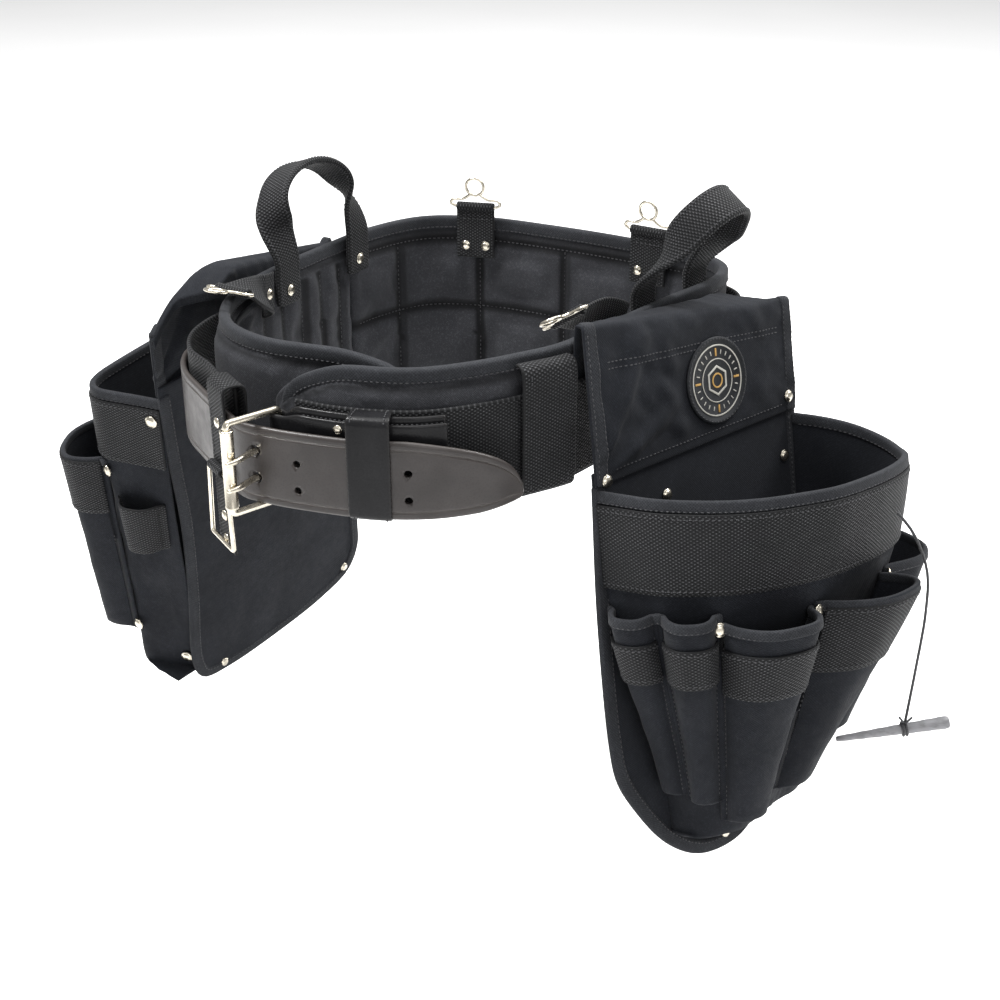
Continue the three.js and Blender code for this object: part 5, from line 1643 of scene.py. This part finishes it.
# ---------- patch, cord and toggle of the right pouch ----------
def add_patch(panel):
    """A round rubber patch with a plain design: a ring, a ring of ticks and a hexagonal nut."""
    back = panel.at(*PATCH_AT, SLEEVE_CLOTH + 0.4)
    piece = Piece(PATCH, PATCH_PALE, PATCH_OCHRE, THREAD)
    r = PATCH_RADIUS
    profile = [(0, 0), (r - 0.8, 0), (r, 0.4), (r, 1.2), (r - 0.5, 1.6), (r - 2.3, 1.6),
               (r - 2.7, 1.15), (0, 1.15)]
    piece.turned(profile, back, panel.out, sides=72)
    face = back + panel.out * 1.2

    def spot(radius, angle):
        return face + radius * (math.cos(angle) * panel.rear + math.sin(angle) * panel.down)

    def ring(radius, width, slot, corners=72, start=0.0):
        path = [spot(radius, start + k / corners * 2 * math.pi) for k in range(corners)]
        outward = [unit(p - face) for p in path]
        piece.tube(path, outward, rounded_box(width, 0.5, 0.2), slot, closed=True)

    ring(23.8, 1.0, 1)
    ring(14.6, 0.7, 1)
    ring(9.6, 1.7, 1, 6, math.pi / 6)
    ring(4.6, 1.2, 2, 36)
    for k in range(24):
        angle = k / 24 * 2 * math.pi
        inner, outer, slot = (16.6, 21.6, 2) if k % 6 == 0 else (18.0, 20.6, 1)
        along = unit(spot(1, angle + math.pi / 2) - face)
        piece.tube([spot(inner, angle), spot((inner + outer) / 2, angle), spot(outer, angle)], along,
                   rounded_box(1.5 if slot == 2 else 0.8, 0.5, 0.2), slot)
    edge = [spot(r - 1.4, k / 120 * 2 * math.pi) + panel.out * 0.42 for k in range(121)]
    piece.stitches(edge, panel.out, 3, LEATHER_PITCH)
    piece.make("sleeve_patch_rubber", "right_sleeve", "sleeve_patch", slot="patch_rubber")
    heads = Piece(NICKEL)
    heads.rivet(panel.at(8, 100, 2.9), panel.out)
    heads.rivet(panel.at(190, 76, 2.9), panel.out)
    heads.make("right_sleeve_rivets", "right_sleeve", "right_rivet_rim", slot="nickel")


CORD_ROUTE = (
    (164, 144, 110), (172, 158, 115), (180, 185, 119), (184, 215, 114), (185, 255, 104), (183, 298, 94),
)


def add_pull_cord(panel):
    """A short tied cord that hangs from the pocket's corner with a tapered grey toggle."""
    route = np.array([panel.at(*p) for p in CORD_ROUTE])
    path = resample(spline(route, 12), 25)
    direction = unit(vec(0.851, 0.491, 0.184))
    tie = path[-1] - vec(0, 0, 5)
    middle = tie - direction * 8
    toggle = Piece(PLASTIC)
    half = TOGGLE_LENGTH / 2
    profile = [(0, -half), (1.3, -half + 0.1), (1.9, -half + 0.8), (2.1, -half + 2)]
    profile += [(2.0 + 2.5 * t ** 0.8 + 0.12 * math.sin(t * 40), -half + 4 + (TOGGLE_LENGTH - 8) * t)
                for t in np.linspace(0.02, 1, 26)]
    profile += [(4.4, half - 2.4), (4.1, half - 1), (3.2, half - 0.2), (0, half)]
    toggle.turned(profile, middle, direction)
    bar = toggle.make("pull_toggle_bar", "right_pouch", "pull_toggle", slot="grey_plastic")

    cord = Piece(CORD)
    side = unit(np.cross(unit(path[1] - path[0]), vec(0, 0, 1)))
    cord.tube(path, side, circle(CORD_DIAMETER / 2, 10))
    rope = cord.make("pull_cord_braid", "right_pouch", "pull_cord", slot="cord")

    knot = Piece(CORD)
    helper = unit(np.cross(direction, vec(0, 0, 1)))
    around = turn_round(helper, np.cross(direction, helper), 24)[:-1]
    for shift in (-1.2, 1.2):
        knot.tube(tie + direction * shift + 4.6 * around, direction, circle(0.95, 8), closed=True)
    root = tie + vec(0, 0, 4)
    for tip in (vec(5, -4, 9), vec(-3, -5, 7)):
        knot.tube(np.linspace(root, root + tip, 6), helper, circle(0.8, 8))
    tied = knot.make("pull_cord_knot", "right_pouch", slot="cord")


# ---------- camera, light and floor ----------
CAMERA_AT = (0.5296, -0.8858, 0.4166)
CAMERA_AIM = (0.0353, -0.0296, -0.0656)
LENS = 56.6
FLOOR_BELOW = 0.10        # the belt hangs this far above the floor, in metres
FLOOR_HALF = 6
WORLD_STRENGTH = 0.5
LIGHTS = (                # name, place and size in metres, power in watts
    ("key", (-1.1, -0.6, 2.2), 0.6, 95), ("fill", (1.6, -1.5, 0.9), 1.2, 12),
    ("top", (0.1, 0.3, 4.2), 4.5, 250), ("back", (1.0, 1.7, 1.7), 0.8, 60),
)


def aimed(thing, at, target):
    thing.location = at
    thing.rotation_mode = "QUATERNION"
    thing.rotation_quaternion = (Vector(target) - Vector(at)).to_track_quat("-Z", "Y")
    bpy.context.scene.collection.objects.link(thing)
    return thing


def add_camera():
    data = bpy.data.cameras.new("camera")
    data.lens = LENS
    bpy.context.scene.camera = aimed(bpy.data.objects.new("camera", data), CAMERA_AT, CAMERA_AIM)


def add_lights():
    for name, at, size, power in LIGHTS:
        data = bpy.data.lights.new(name, "AREA")
        data.size = size
        data.energy = power
        aimed(bpy.data.objects.new(name, data), at, (0, 0, -0.05))
    world = bpy.data.worlds.new("studio")
    world.use_nodes = True
    backdrop = world.node_tree.nodes["Background"]
    backdrop.inputs["Color"].default_value = (1, 1, 1, 1)
    backdrop.inputs["Strength"].default_value = WORLD_STRENGTH
    bpy.context.scene.world = world
    bpy.context.scene.view_settings.view_transform = "Standard"


def add_floor():
    look = Look("pale_floor", 0.9)
    look.done(look.mix(look.noise(400, 2), (0.86, 0.86, 0.86), (0.9, 0.9, 0.9)))
    height = CAD_BOX[0][2] - FLOOR_BELOW
    mesh = bpy.data.meshes.new("floor")
    corners = [(x * FLOOR_HALF, y * FLOOR_HALF, height) for x, y in ((-1, -1), (1, -1), (1, 1), (-1, 1))]
    mesh.from_pydata(corners, [], [(0, 1, 2, 3)])
    mesh.materials.append(look.material)
    floor = bpy.data.objects.new("floor", mesh)
    bpy.context.scene.collection.objects.link(floor)


add_camera()
right_pouch = Pouch("right", RIGHT_POUCH)
add_pull_cord(right_pouch.frame)
add_pad()
add_pad_binding()
add_quilt_stitches()
add_webbing()
add_webbing_loop()
add_billet()
add_buckle_strap()
add_keeper()
add_buckle()
add_handle("handle_left", (-153.5, -26), (-152, 64), 58, 0.3)
add_handle("handle_right", (116, 38), (127, 100), 74, 0.6)
add_suspenders()
add_tool_tab()
right_pouch.build()
add_patch(right_pouch.frame)
Pouch("left", LEFT_POUCH).build()
add_lights()
add_floor()
